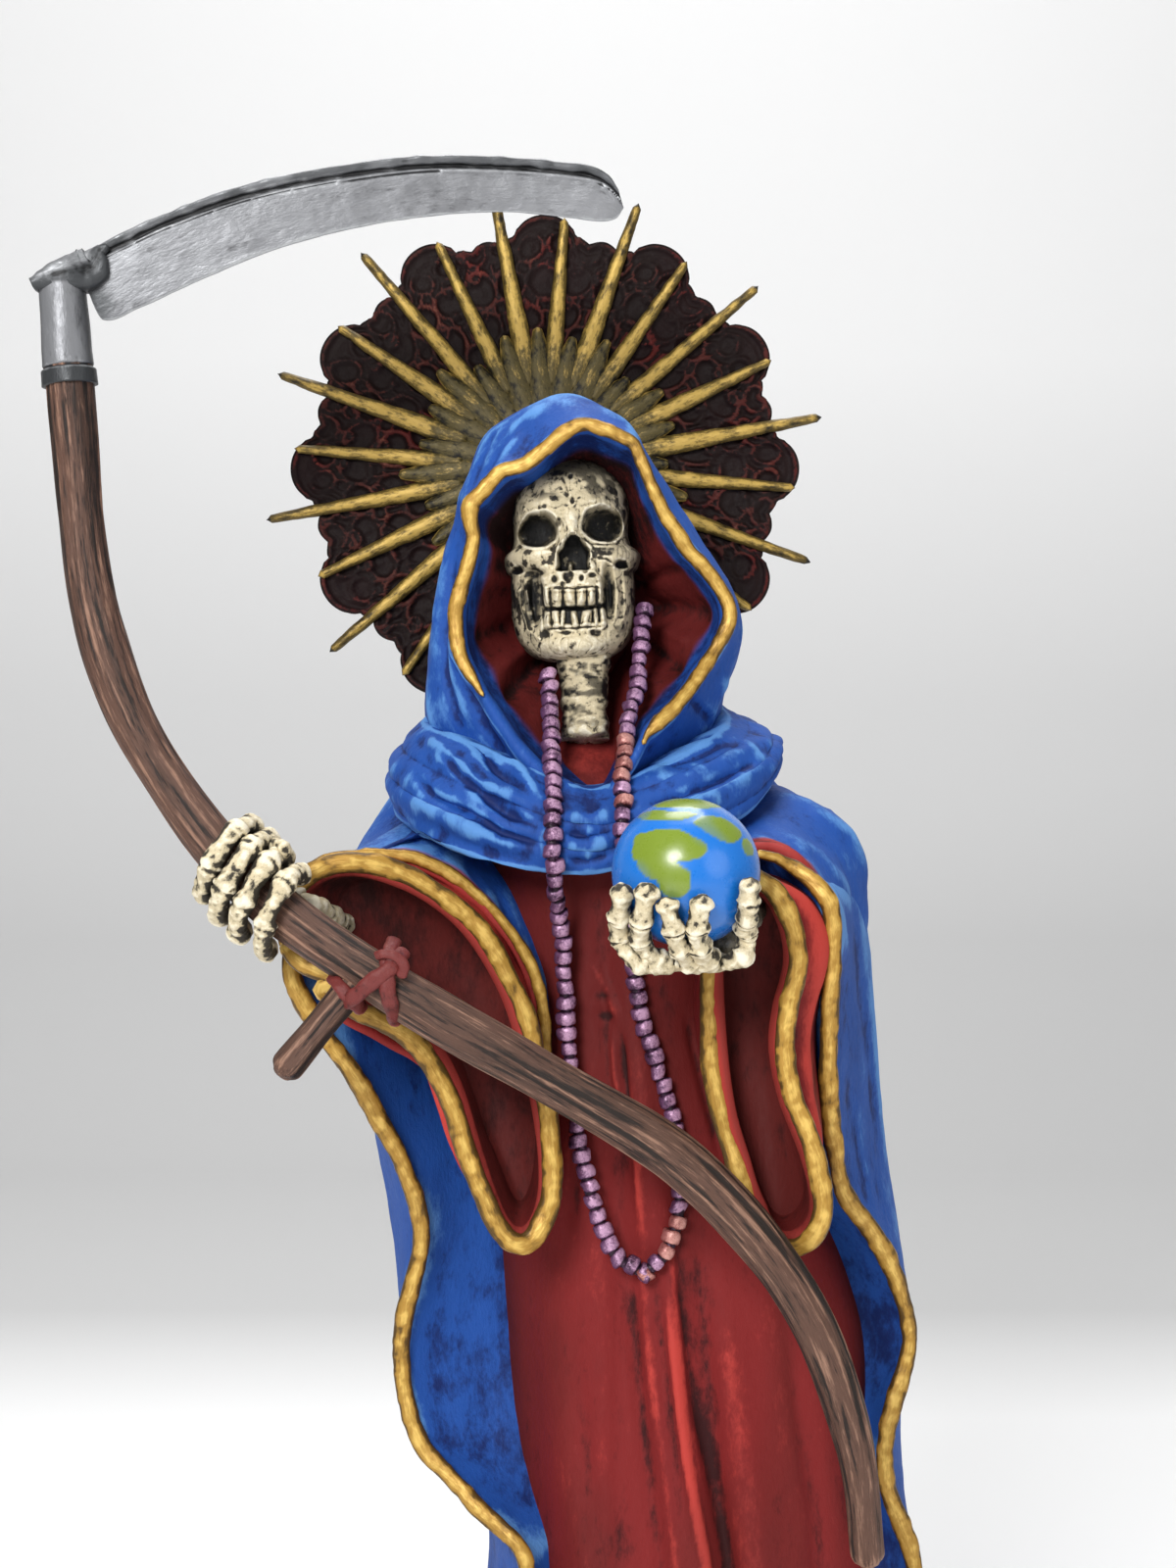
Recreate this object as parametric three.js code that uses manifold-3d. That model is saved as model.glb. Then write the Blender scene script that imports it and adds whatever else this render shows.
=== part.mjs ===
// A painted resin statuette of a robed skeleton: a hooded cloak over a gown, a rayed halo behind the
// head, a globe in the left hand and a scythe in the right fist, on a low oval base.
// Millimetres, +Z up. The figure faces -Y, and the origin is the centre of the base's underside.
import * as THREE from 'three';
import { LoftGeometry } from 'three/addons/geometries/LoftGeometry.js';
import { mergeVertices } from 'three/addons/utils/BufferGeometryUtils.js';
import Module from 'manifold-3d';

const wasm = await Module();
wasm.setup();

// Driving sizes
const figureHeight = 300;
const baseWidth = 122;
const baseDepth = 106;
const baseHeight = 15;
const baseBevel = 3;
const footBevel = 1;
const glueGap = 0.3;
const globeDiameter = 26.4;
const haloDiscDiameter = 111;
const haloRaySpan = 124;
const haloThickness = 2.6;
const haloRayCount = 24;
const shaftDiameter = 9;
const ferruleDiameter = 9.6;
const bladeWidth = 13.8;
const bladeThickness = 3.2;
const pegDiameter = 6.4;
const pegLength = 20;
const beadDiameter = 4.8;
const beadPitch = 6;
const trimDiameter = 3.8;
const clothWall = 2.6;
const fingerDiameter = 4.2;
const stubDiameter = 16;
const rayRise = 1.9;
const rayWidth = 7.4;
const leafWidth = 5.6;

// The figure's pose and carving are shares of its height. The tables below give them in millimetres
// for a figure 300 high on a base 15 high, and share and place bring them to the real size.
const share = figureHeight / 300;
const tableBase = 15;
const footing = baseHeight + glueGap;

const place = (x, y, z) => new THREE.Vector3(x * share, y * share, footing + (z - tableBase) * share);

// Cubic curve through every row of [key, value, value, ...], held constant past both ends.
function table(rows) {
  const last = rows.length - 1;
  const slope = (row, column) => {
    const [before, after] = [rows[Math.max(row - 1, 0)], rows[Math.min(row + 1, last)]];
    return (after[column] - before[column]) / (after[0] - before[0]);
  };
  return (key) => {
    const t = THREE.MathUtils.clamp(key, rows[0][0], rows[last][0]);
    let row = 0;
    while (row < last - 1 && t > rows[row + 1][0]) row += 1;
    const [from, to] = [rows[row], rows[row + 1]];
    const step = to[0] - from[0];
    const s = (t - from[0]) / step;
    return from.slice(1).map((value, index) => {
      const column = index + 1;
      const bend = (s ** 3 - 2 * s ** 2 + s) * step * slope(row, column);
      const bendOut = (s ** 3 - s ** 2) * step * slope(row + 1, column);
      const mix = 3 * s ** 2 - 2 * s ** 3;
      return value * (1 - mix) + to[column] * mix + bend + bendOut;
    });
  };
}

const smooth = (x, low, high) => THREE.MathUtils.smoothstep(x, low, high);
const bump = (x, width) => Math.exp(-((x / width) ** 2));
const spread = (from, to, steps) => (
  Array.from({ length: steps + 1 }, (_, i) => from + ((to - from) * i) / steps)
);
const radians = THREE.MathUtils.degToRad;

// A closed geometry as a solid that can be joined and cut. Corners that coincide are merged first.
function solid(geometry) {
  const plain = new THREE.BufferGeometry();
  plain.setAttribute('position', geometry.attributes.position);
  plain.setIndex(geometry.index);
  const merged = mergeVertices(plain);
  const triangles = [];
  for (let i = 0; i < merged.index.count; i += 3) {
    const [a, b, c] = [0, 1, 2].map((k) => merged.index.getX(i + k));
    if (a !== b && b !== c && c !== a) triangles.push(a, b, c);
  }
  const vertProperties = merged.attributes.position.array;
  const triVerts = new Uint32Array(triangles);
  return new wasm.Manifold(new wasm.Mesh({ numProp: 3, vertProperties, triVerts }));
}

// A solid through rings of points, closed at both ends. The rings run anticlockwise as seen from the
// last one, looking back.
const loft = (rings) => solid(new LoftGeometry(rings, { capStart: true, capEnd: true }));
const join = (solids) => solids.reduce((whole, next) => whole.add(next));

// A joined solid as a three.js mesh.
function mesh(name, whole, colour, roughness, metalness = 0) {
  const made = whole.getMesh();
  const geometry = new THREE.BufferGeometry();
  geometry.setAttribute('position', new THREE.BufferAttribute(made.vertProperties, 3));
  geometry.setIndex(new THREE.BufferAttribute(made.triVerts, 1));
  geometry.computeVertexNormals();
  const material = new THREE.MeshStandardMaterial({ color: colour, roughness, metalness });
  const result = new THREE.Mesh(geometry, material);
  result.name = name;
  return result;
}

// A round bar along a curve: a ring of points across the curve at every step, its radius from a function.
function bar(curve, radiusAt, sides, steps) {
  const frames = curve.computeFrenetFrames(steps, false);
  return loft(spread(0, 1, steps).map((t, i) => {
    const centre = curve.getPointAt(t);
    return spread(0, 2 * Math.PI, sides).slice(0, sides).map((angle) => centre.clone()
      .addScaledVector(frames.normals[i], radiusAt(t) * Math.cos(angle))
      .addScaledVector(frames.binormals[i], radiusAt(t) * Math.sin(angle)));
  }));
}

const curveThrough = (points) => new THREE.CatmullRomCurve3(points, false, 'centripetal');

// An ellipsoid with its poles on the Z axis.
function ellipsoid(centre, radii, sides, rows) {
  const ball = new THREE.SphereGeometry(1, sides, rows);
  ball.rotateX(Math.PI / 2).scale(...radii);
  return solid(ball.translate(centre.x, centre.y, centre.z));
}

// Gown. An ellipse at each height: centre x and y, half width, half depth.
const gownShape = table([
  [15, 2, 2, 48, 39], [50, 2, 1, 41, 34], [90, 1.5, 0, 38, 30], [125, 0, 0, 37, 28],
  [150, -4, 0, 35, 26], [180, -9, 0, 30, 25], [210, -14, 0, 27, 24], [230, -18, 0, 26, 23],
  [240, -20, 2, 22, 19], [247, -20, 4, 17, 12], [252, -20, 6, 9, 6],
]);
// Folds of the gown's front: x at the fold's top and foot, top height, foot height, width and rise.
const gownFolds = [
  [-21, -20, 150, 15, 10, 2.6], [-9, -9, 145, 15, 4, -3.2], [-4, 8, 155, 15, 3.4, 3.6],
  [0, 14, 145, 15, 3.4, -3.6], [19, 24, 150, 15, 9, 3.4], [-30, -32, 140, 15, 4, -3],
  [-13, -8, 216, 160, 2.8, 1.8], [-18, -14, 216, 165, 2.4, -1.8],
];

function gownFold(x, z) {
  return gownFolds.reduce((sum, [xTop, xFoot, top, foot, width, rise]) => {
    const along = THREE.MathUtils.clamp((top - z) / (top - foot), 0, 1);
    const fade = 1 - smooth(z, top - 15, top + 12);
    return sum + rise * fade * bump(x - (xTop + (xFoot - xTop) * along), width);
  }, 0);
}

function gownPoint(angle, z) {
  const [cx, cy, a, b] = gownShape(z);
  const x = cx + a * Math.sin(angle);
  const front = Math.max(0, Math.cos(angle));
  return place(x, cy - b * Math.cos(angle) - gownFold(x, z) * front ** 0.5, z);
}

function gown() {
  const heights = [15, 50, 85, 112, 132, 148, 165, 190, 215, 232, 242, 251];
  const angles = [-90, -75, ...spread(-64, 64, 18), 75, 90, 150, 210].map(radians);
  return loft(heights.map((z) => angles.map((angle) => gownPoint(angle, z))));
}

// Cloak. The outer ellipse at each height, and its two front edges as x and y.
const cloakShape = table([
  [15, 2, 3, 54, 46], [25, 2, 3, 52, 44], [55, 2, 3, 47, 40], [86, 1.5, 3, 44.7, 36], [110, -4, 3, 50, 34],
  [137, -7.5, 2, 53.5, 33], [167, -11.8, 1, 54, 32], [190, -14, -2, 54, 33], [216, -17.5, -4, 54, 34],
  [224, -19, -3, 50, 32.5], [232, -20, -2, 43, 31], [250, -20, 1, 30, 27],
]);
const leftEdge = table([
  [15, -36, -33], [50, -33, -29], [87, -32.2, -26], [97, -42, -22], [107, -52.5, -18], [125, -57, -16],
  [152, -52.7, -21], [176, -62, -29], [198, -74.6, -37], [212, -74.6, -35], [221, -66, -31],
  [232, -44, -18], [250, -36, -12],
]);
const rightEdge = table([
  [15, 43, -30], [60, 44, -22], [84, 43.9, -17], [104, 37.9, -20], [127, 43.3, -15], [144, 38.5, -20],
  [160, 28.5, -29], [189, 25.1, -38], [214, 24.8, -43], [223, 16, -38], [232, 3, -19], [250, -4, -12],
]);
const cloakSpread = 80;
const cloakEdgeReach = 0.12;
const cloakFluteCount = 7;
const cloakSteps = 22;
// Degrees round the gown at which the cloak's front wall leaves it, on each side.
const wallRoot = table([
  [15, 40, 46], [87, 45, 58], [107, 62, 62], [125, 72, 66], [152, 70, 60], [176, 76, 52], [198, 84, 50],
  [221, 80, 52], [232, 66, 55], [250, 50, 50],
]);

// The cloak's outer face from the left edge (s = 0) round the back to the right edge (s = 1): the
// ellipse with shallow flutes, drawn out to meet the edge line at both ends.
function cloakOuter(s, z) {
  const [cx, cy, a, b] = cloakShape(z);
  const onEllipse = (t) => {
    const angle = radians(-cloakSpread - (360 - 2 * cloakSpread) * t);
    return [cx + a * Math.sin(angle), cy - b * Math.cos(angle)];
  };
  const depth = 0.028 * smooth(200 - z, 0, 150) * smooth(Math.min(s, 1 - s), 0.05, 0.2);
  const flute = 1 - depth * (1 - Math.cos(2 * Math.PI * cloakFluteCount * s));
  let [x, y] = onEllipse(s);
  x = cx + (x - cx) * flute;
  y = cy + (y - cy) * flute;
  [[leftEdge(z), onEllipse(0), s], [rightEdge(z), onEllipse(1), 1 - s]].forEach(([edge, start, from]) => {
    const pull = (1 - smooth(from, 0, cloakEdgeReach)) ** 1.2;
    x += (edge[0] - start[0]) * pull;
    y += (edge[1] - start[1]) * pull;
  });
  return place(x, y, z);
}

// The cloak's front-facing wall from inside the gown (s = 0) to the edge line (s = 1), hollowed a little.
function cloakWall(s, z, side) {
  const [cx, cy, a, b] = gownShape(z);
  const angle = side * radians(wallRoot(z)[side < 0 ? 0 : 1]);
  const [x0, y0] = [cx + 0.86 * a * Math.sin(angle), cy - 0.8 * b * Math.cos(angle)];
  const [x1, y1] = side < 0 ? leftEdge(z) : rightEdge(z);
  const hollow = 3 * Math.sin(Math.PI * s);
  return place(x0 + (x1 - x0) * s, y0 + (y1 - y0) * s + hollow, z);
}

// The rolled border at an edge line, from the wall's side round to the outer face.
function cloakBorder(z, side) {
  const [inner, edge] = [0.8, 1].map((s) => cloakWall(s, z, side));
  const out = edge.clone().sub(inner).normalize();
  const across = new THREE.Vector3(out.y, -out.x, 0).multiplyScalar(side);
  const size = (trimDiameter / 2) * (1 - 0.8 * smooth(z, 208, 222));
  return [[-1, 0.3], [-0.4, 1.2], [0.8, 1], [1.1, -0.2]].map(([sideways, outward]) => edge.clone()
    .addScaledVector(across, -sideways * size)
    .addScaledVector(out, outward * size));
}

function cloak() {
  const heights = [15, 50, 80, 96, 110, 125, 142, 160, 178, 198, 214, 226, 246];
  const wallSteps = [0, 0.5, 0.85];
  return loft(heights.map((z) => [
    ...wallSteps.map((s) => cloakWall(s, z, 1)),
    ...cloakBorder(z, 1),
    ...spread(1, 0, cloakSteps).slice(1, -1).map((s) => cloakOuter(s, z)),
    ...cloakBorder(z, -1).toReversed(),
    ...wallSteps.toReversed().map((s) => cloakWall(s, z, -1)),
  ]));
}

// A bent ellipse: an ellipse whose long axis follows a curve. width gives the half width along it, lean
// turns the side at the right of the axis towards the front, and offset widens the whole outline.
function bentEllipse(axis, width, lean, angle, offset) {
  const t = (1 - Math.cos(angle)) / 2;
  const along = axis.getTangent(t);
  const across = new THREE.Vector3(-along.z, 0, along.x).normalize();
  across.y = -lean;
  return axis.getPoint(t)
    .addScaledVector(across, (width(t)[0] * share + offset) * Math.sin(angle))
    .addScaledVector(along, -offset * Math.cos(angle));
}

// How far in front of its rim a bell's hollow is cut from.
const bellMouth = 20;

// A bell of cloth, open at the front: rim and root are bent ellipses joined by the outer face, with a
// rolled border at the rim, and the hollow runs back from the rim for part of that depth.
function bell({ rim, root, rimWidth, rootWidth, lean, depth, sides }) {
  const [front, back] = [curveThrough(rim), curveThrough(root)];
  const [frontWidth, backWidth] = [table(rimWidth), table(rootWidth)];
  const ring = ([d, offset]) => spread(2 * Math.PI, 0, sides).slice(1).map((angle) => {
    const near = bentEllipse(front, frontWidth, lean, angle, offset);
    return near.lerp(bentEllipse(back, backWidth, lean, angle, offset), d);
  });
  const roll = trimDiameter / 4;
  const outer = loft([[1, 0], [0.55, 0], [0.13, -0.2], [0.09, roll], [0, roll]].map(ring));
  if (depth === 0) return outer;
  const hollow = [[depth, -1.8 * clothWall], [depth / 2, -1.4 * clothWall], [0, -clothWall]].map(ring);
  const mouth = hollow.at(-1).map((point) => point.clone().setY(point.y - bellMouth));
  return outer.subtract(loft([...hollow, mouth]));
}

const rightSleeve = {
  rim: [place(-75, -44, 208), place(-67.3, -43, 210.6), place(-60.2, -41, 208), place(-51.2, -39, 202.5),
    place(-43.7, -38, 194.5), place(-38.6, -37.5, 183.5), place(-35.2, -37.5, 170.6),
    place(-33.3, -38, 160.5), place(-32.5, -38, 151)],
  root: [place(-60, -12, 214), place(-50, -10, 209), place(-42, -9, 200), place(-36, -10, 182),
    place(-33, -12, 160)],
  rimWidth: [[0, 17], [0.25, 14], [0.375, 12], [0.5, 9.6], [0.65, 8.3], [1, 9]],
  rootWidth: [[0, 13], [0.5, 11], [1, 8]],
  lean: -0.3,
  depth: 0.6,
  sides: 16,
};

const leftSleeve = {
  rim: [place(8, -50, 219), place(9.7, -47.5, 213), place(10.5, -46.5, 206), place(9.6, -46, 197),
    place(9.5, -45.5, 188), place(11.3, -46, 177), place(14.8, -47, 166.5), place(16.6, -47, 158.5),
    place(16, -47, 152)],
  root: [place(14, -15, 220), place(13, -12, 208), place(12, -12, 194), place(14, -12, 176),
    place(17, -14, 158)],
  rimWidth: [[0, 9], [0.25, 9], [0.375, 6.9], [0.5, 5.8], [0.65, 6.4], [1, 9.5]],
  rootWidth: [[0, 12], [0.5, 11], [1, 9]],
  lean: 0.6,
  depth: 0.6,
  sides: 16,
};

// The cloak where it lies over the right arm, and over the left forearm: closed under the sleeve.
const rightDrape = {
  rim: [place(-76, -36, 206), place(-67.3, -34, 209), place(-60, -32, 207), place(-51, -30, 201.5),
    place(-43.5, -29, 193.5), place(-38, -28.5, 182), place(-33, -28, 166)],
  root: [place(-58, -2, 222), place(-48, -2, 220), place(-40, -3, 210), place(-33, -5, 196),
    place(-30, -7, 180)],
  rimWidth: [[0, 17], [0.33, 17], [0.5, 16], [0.66, 15], [1, 12]],
  rootWidth: [[0, 15], [0.5, 15], [1, 10]],
  lean: -0.2,
  depth: 0,
  sides: 12,
};

const leftDrape = {
  rim: [place(12, -41, 225), place(13, -40, 210), place(14, -38, 194), place(16, -36, 176)],
  root: [place(14, 0, 236), place(18, -2, 222), place(20, -2, 204), place(22, -2, 184)],
  rimWidth: [[0, 14], [0.5, 12], [1, 10]],
  rootWidth: [[0, 16], [0.5, 17], [1, 16]],
  lean: 0.1,
  depth: 0,
  sides: 10,
};

// Cowl round the shoulders. Per direction (degrees from the front, + to the figure's left): radius,
// and height of the lower edge, then radius and height where it meets the hood.
const cowlCentre = [-20, -3];
const cowlShape = table([
  [-180, 28, 236, 25, 258], [-135, 36, 236, 29, 256], [-90, 39, 233, 33, 250], [-55, 38, 226, 31, 246],
  [-25, 33, 221, 27, 240], [0, 31, 219.5, 25, 236], [25, 33, 223, 26, 239], [55, 38, 231, 29, 246],
  [90, 38.5, 243, 28, 251], [135, 34, 240, 28, 256], [180, 28, 236, 25, 258],
]);

function cowlPoint(degrees, v) {
  const [footRadius, footHeight, topRadius, topHeight] = cowlShape(degrees);
  const wave = Math.cos(2 * Math.PI * (3 * v + 0.2 * Math.sin(radians(degrees))));
  const fold = 1.5 * Math.sin(Math.PI * v) * wave;
  const sag = 5 * Math.sin(Math.PI * v);
  const radius = THREE.MathUtils.lerp(footRadius, topRadius, v ** 1.3) + fold + sag * 0.5;
  const height = THREE.MathUtils.lerp(footHeight, topHeight, v);
  const angle = radians(degrees);
  return place(cowlCentre[0] + radius * Math.sin(angle), cowlCentre[1] - radius * Math.cos(angle), height);
}

function cowl() {
  const sections = spread(-180, 180, 18).map((d) => [
    ...spread(1, 0, 6).map((v) => cowlPoint(d, v)),
    cowlPoint(d, 0).lerp(place(...cowlCentre, 230), 0.75),
    cowlPoint(d, 1).lerp(place(...cowlCentre, 238), 0.7),
  ]);
  return solid(new LoftGeometry(sections));
}

// Hood. Per direction round the face (degrees from the crown, + to the figure's left): radius of the
// rim, and of the outline seen from the front.
const hoodCentre = [-18, 270];
const hoodShape = table([
  [-180, 37, 39], [-160, 33, 40], [-140, 28.2, 42], [-120, 27.6, 41], [-100, 26.9, 34], [-75, 26.9, 33],
  [-55, 29.7, 35], [-40, 32.5, 40], [-26, 33.5, 44.5], [-12, 36.6, 45.8], [2, 35.2, 42.6], [20, 29.5, 33],
  [40, 23, 27.3], [60, 22.5, 26], [80, 25, 27.8], [100, 26.5, 28.6], [120, 26.4, 29.8], [140, 25.7, 33],
  [160, 26.5, 37], [180, 37, 39],
]);
const hoodRimDepth = (angle) => {
  const up = Math.cos(angle);
  return -18 - 4 * Math.max(0, up) ** 2 - 11 * Math.max(0, -up) ** 2;
};
// Rings of the outer face: share of the outline's radius, and depth.
const hoodOuter = [
  [0, 31, 0.32], [0, 29, 0.5], [0, 20, 0.84], [0, 4, 1.01], [0.15, -9, 1.02],
];
// Rings of the hollow: share of the rim's radius, and depth. It is cut from this far in front.
const hoodHollow = [[0.9, -14], [0.8, -2], [0.45, 8]];
const hoodMouth = -50;

function hoodRing(degreesList, radiusAt, depthAt, lift) {
  return degreesList.map((degrees) => {
    const angle = radians(degrees);
    const radius = radiusAt(degrees);
    const [across, up] = [radius * Math.sin(angle), radius * Math.cos(angle)];
    return place(hoodCentre[0] + across, depthAt(angle), hoodCentre[1] + lift + up);
  });
}

function hood() {
  const directions = spread(180, -180, 21).slice(1);
  const outer = hoodOuter.map(([toRim, depth, scale]) => hoodRing(directions, (d) => {
    const [rim, outline] = hoodShape(d);
    return scale * THREE.MathUtils.lerp(outline, rim, toRim);
  }, () => depth, 14 * (1 - scale)));
  const border = [[0.6, 4], [2.2, 3], [2, 0], [0.6, -0.8]].map(([out, behind]) => (
    hoodRing(directions, (d) => hoodShape(d)[0] + out, (angle) => hoodRimDepth(angle) + behind, 0)));
  const hollow = hoodHollow.map(([scale, depth]) => hoodRing(directions, (d) => scale * hoodShape(d)[0],
    () => depth, 6 * (1 - scale)));
  const inside = (d) => hoodShape(d)[0] - 1.4;
  const lip = hoodRing(directions, inside, hoodRimDepth, 0);
  const mouth = hoodRing(directions, inside, () => hoodMouth, 0);
  return loft([...outer, ...border]).subtract(loft([...hollow.toReversed(), lip, mouth]));
}

// Skull. A ring at each height from its centre: half width, reach forward and reach back.
const skullCentre = [-23.3, -3, 283.5];
const skullTilt = 2;
const skullShape = table([
  [-21.6, 4, 10.5, 0], [-20.2, 7.4, 13.2, 1], [-17, 9.6, 14.2, 2], [-12, 10.8, 14.4, 4], [-7, 11.3, 14.4, 8],
  [-4.6, 11.6, 14.4, 10], [-2.6, 13.5, 14.2, 12], [-0.6, 11.7, 14, 14], [3.6, 11.5, 13.8, 17],
  [7.4, 11.9, 14.6, 18], [10.5, 11.6, 14, 17.5], [14, 10.2, 12, 15], [17, 7.2, 8.4, 11], [18.8, 4, 5, 7],
]);
// Rounded pits and bumps on its front: x, height, half width, half height and rise. Those off the middle
// line come in pairs: sockets, nose, hollow cheeks, brows, nose bridge, teeth and chin.
const skullFeatures = [
  [6.4, 3.6, 3.6, 3.1, -6.5], [0, -1.9, 2.2, 3, -5], [7.9, -8, 2.4, 4.2, -3.2], [6.2, 7.8, 4.6, 1.6, 1.1],
  [0, 3.2, 2, 3, 1.4], [0, -11, 6.6, 3.8, 1.5], [0, -18.6, 5, 2.4, 1.2],
];

function skull() {
  const heights = [
    -21.6, -20.4, -18, -15, -12, -9.5, -7, -4.6, -2.6, -0.6, 1.4, 3.6, 6.4, 10.5, 14, 17, 18.8,
  ];
  const half = [8, 16, 24, 33, 43, 56, 80, 120];
  const turns = [...half.toReversed().map((turn) => -turn), 0, ...half, 180].map(radians);
  const [tiltAxis, skullMiddle] = [new THREE.Vector3(0, 1, 0), new THREE.Vector3(...skullCentre)];
  return loft(heights.map((z) => turns.map((turn) => {
    const [width, front, back] = skullShape(z);
    const x = width * Math.sin(turn);
    const facing = Math.max(0, Math.cos(turn));
    const carved = skullFeatures.reduce((sum, [fx, fz, halfWidth, halfHeight, rise]) => {
      const off = ((Math.abs(x) - fx) / halfWidth) ** 2 + ((z - fz) / halfHeight) ** 2;
      return sum + rise * Math.exp(-(off ** 2));
    }, 0);
    const forward = front * facing ** 0.85 - back * Math.max(0, -Math.cos(turn)) + carved * facing ** 0.3;
    const point = new THREE.Vector3(x, -forward, z).applyAxisAngle(tiltAxis, radians(-skullTilt));
    return place(...point.add(skullMiddle));
  })));
}

const neck = () => bar(
  new THREE.LineCurve3(place(-21, -8, 270), place(-20.5, -13, 245.5)),
  (t) => (7 - 2.4 * smooth(t, 0, 0.7)) * share,
  8,
  3,
);

// Scythe. Its shaft is a bent pole: this curve runs from the ferrule down across the body.
const shaftCurve = curveThrough([
  place(-118.4, -36, 320), place(-117, -36, 303.6), place(-113.3, -39, 273.8), place(-107.6, -42, 255.2),
  place(-98.8, -45, 238.8), place(-80.6, -50, 217.3), place(-57.5, -54, 201), place(-28.9, -55, 184.3),
  place(-2, -55, 167.5), place(18, -55, 144), place(28.4, -51, 117), place(31.8, -46, 92.5),
]);
const shaftRadius = shaftDiameter / 2;
const shaftRadiusAt = (t) => shaftRadius * (0.99 + 0.04 * Math.sin(38 * t)) * (1 - 0.3 * smooth(t, 0.75, 1));
const gripGap = glueGap * 1.2;
// Where the fist and the peg sit, as shares of the shaft's length from its top.
const fistPosition = 0.385;
const pegPosition = 0.475;

// Blade: its back is an arc from the heel over the ferrule to the blunt tip, and its width falls from it.
const bladeCurve = curveThrough([
  place(-125, -36, 330.5), place(-115, -36, 337.5), place(-101.6, -35, 343.6), place(-83, -34, 350.2),
  place(-66.6, -33, 354), place(-43, -31.5, 356.4), place(-20, -30, 354.8), place(-14.5, -30, 351.5),
]);
const bladeWidthAt = table([
  [0, 0.35], [0.07, 0.5], [0.12, 1.02], [0.25, 1.02], [0.4, 0.94], [0.55, 0.84], [0.7, 0.77], [0.87, 0.74],
  [0.96, 0.66], [1, 0.4],
]);

function blade() {
  const steps = spread(0, 1, 14);
  return loft(steps.map((t) => {
    const top = bladeCurve.getPointAt(t);
    const along = bladeCurve.getTangentAt(t);
    const down = new THREE.Vector3(along.z, 0, -along.x).normalize();
    const width = bladeWidth * bladeWidthAt(t)[0];
    const thick = bladeThickness / 2;
    // Across the blade: share of the width, and share of the half thickness, front then back.
    const faceLine = [[0, 0.8], [0.15, 1], [0.22, 0.5], [1, 0.12]];
    const section = [...faceLine, ...faceLine.toReversed().map(([across, out]) => [across, -out])];
    return section.map(([across, out]) => top.clone().addScaledVector(down, across * width)
      .add(new THREE.Vector3(0, -out * thick, 0)));
  }));
}

const shaftBar = (clearance) => bar(shaftCurve, (t) => shaftRadiusAt(t) + clearance, 7, 20);

function scythe() {
  const ferruleWay = new THREE.LineCurve3(place(-119.2, -36, 333), place(-117.9, -36, 312.8));
  const ferrule = bar(ferruleWay, (t) => (ferruleDiameter / 2) * (t > 0.8 ? 1.03 : 0.84 + 0.1 * t), 8, 6);
  const pegRoot = shaftCurve.getPointAt(pegPosition);
  const pegWay = new THREE.Vector3(-0.62, -0.1, -0.76).normalize();
  const peg = bar(
    new THREE.LineCurve3(pegRoot, pegRoot.clone().addScaledVector(pegWay, pegLength + shaftRadius)),
    (t) => (pegDiameter / 2) * (0.92 + 0.14 * Math.sin(9 * t)),
    7,
    4,
  );
  return join([shaftBar(0), ferrule, blade(), peg]);
}

// A place on the shaft: its centre line's point and direction, and the front and side square to them.
function station(position) {
  const [centre, along] = [shaftCurve.getPointAt(position), shaftCurve.getTangentAt(position)];
  const front = new THREE.Vector3(0, -1, 0).addScaledVector(along, along.y).normalize();
  return { centre, along, front, side: new THREE.Vector3().crossVectors(along, front) };
}

// A finger curled round the shaft: part of a circle across it, from one angle to another.
function curl(position, radius, thickness, from, to, lean) {
  const { centre, along, front, side } = station(position);
  const points = spread(radians(from), radians(to), 6).map((angle) => centre.clone()
    .addScaledVector(front, radius * Math.cos(angle))
    .addScaledVector(side, radius * Math.sin(angle))
    .addScaledVector(along, lean * Math.sin(angle)));
  return bar(curveThrough(points), (t) => thickness * (0.9 + 0.1 * Math.cos(6 * Math.PI * t)), 5, 5);
}

function rightHand() {
  const fingerRadius = fingerDiameter / 2;
  const grip = shaftRadius * 1.03 + gripGap + fingerRadius;
  const spacing = fingerDiameter * 1.1;
  const fingers = [-1.5, -0.5, 0.5, 1.5].map((n) => (
    curl(fistPosition + (n * spacing) / shaftCurve.getLength(), grip, fingerRadius, -170, 120, 0.6)));
  const { centre, along, front, side } = station(fistPosition);
  const back = centre.clone().addScaledVector(front, -grip);
  const palm = bar(
    new THREE.LineCurve3(
      back.clone().addScaledVector(along, -2 * spacing),
      back.clone().addScaledVector(along, 2 * spacing),
    ),
    (t) => fingerRadius * (1.9 - 2.4 * (t - 0.5) ** 2),
    7,
    3,
  );
  const thumb = bar(curveThrough([
    back.clone().addScaledVector(along, -1.5 * spacing),
    centre.clone().addScaledVector(side, -1.3 * grip).addScaledVector(along, -1.2 * spacing),
    centre.clone().addScaledVector(side, -1.1 * grip).addScaledVector(front, 0.7 * grip),
  ]), () => fingerRadius * 0.95, 5, 4);
  const wrist = centre.clone().add(new THREE.Vector3(3, grip + 2, 1));
  const forearm = bar(
    curveThrough([wrist, place(-68, -36, 212), place(-54, -22, 205)]),
    (t) => (4.2 - 0.8 * Math.sin(Math.PI * t)) * share,
    7,
    3,
  );
  return join([...fingers, palm, thumb, forearm]);
}

// Globe in the upturned left hand: the fingers are arcs on its surface that rise from the palm.
const globeRadius = globeDiameter / 2;
const globeCentre = place(-2.6, -62, 221);
// Degrees round the globe from the front (+ to the figure's left), and height of the tip in degrees.
const globeFingers = [[-64, -6], [-36, -4], [-13, -12], [10, -8], [56, -3]];

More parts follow.
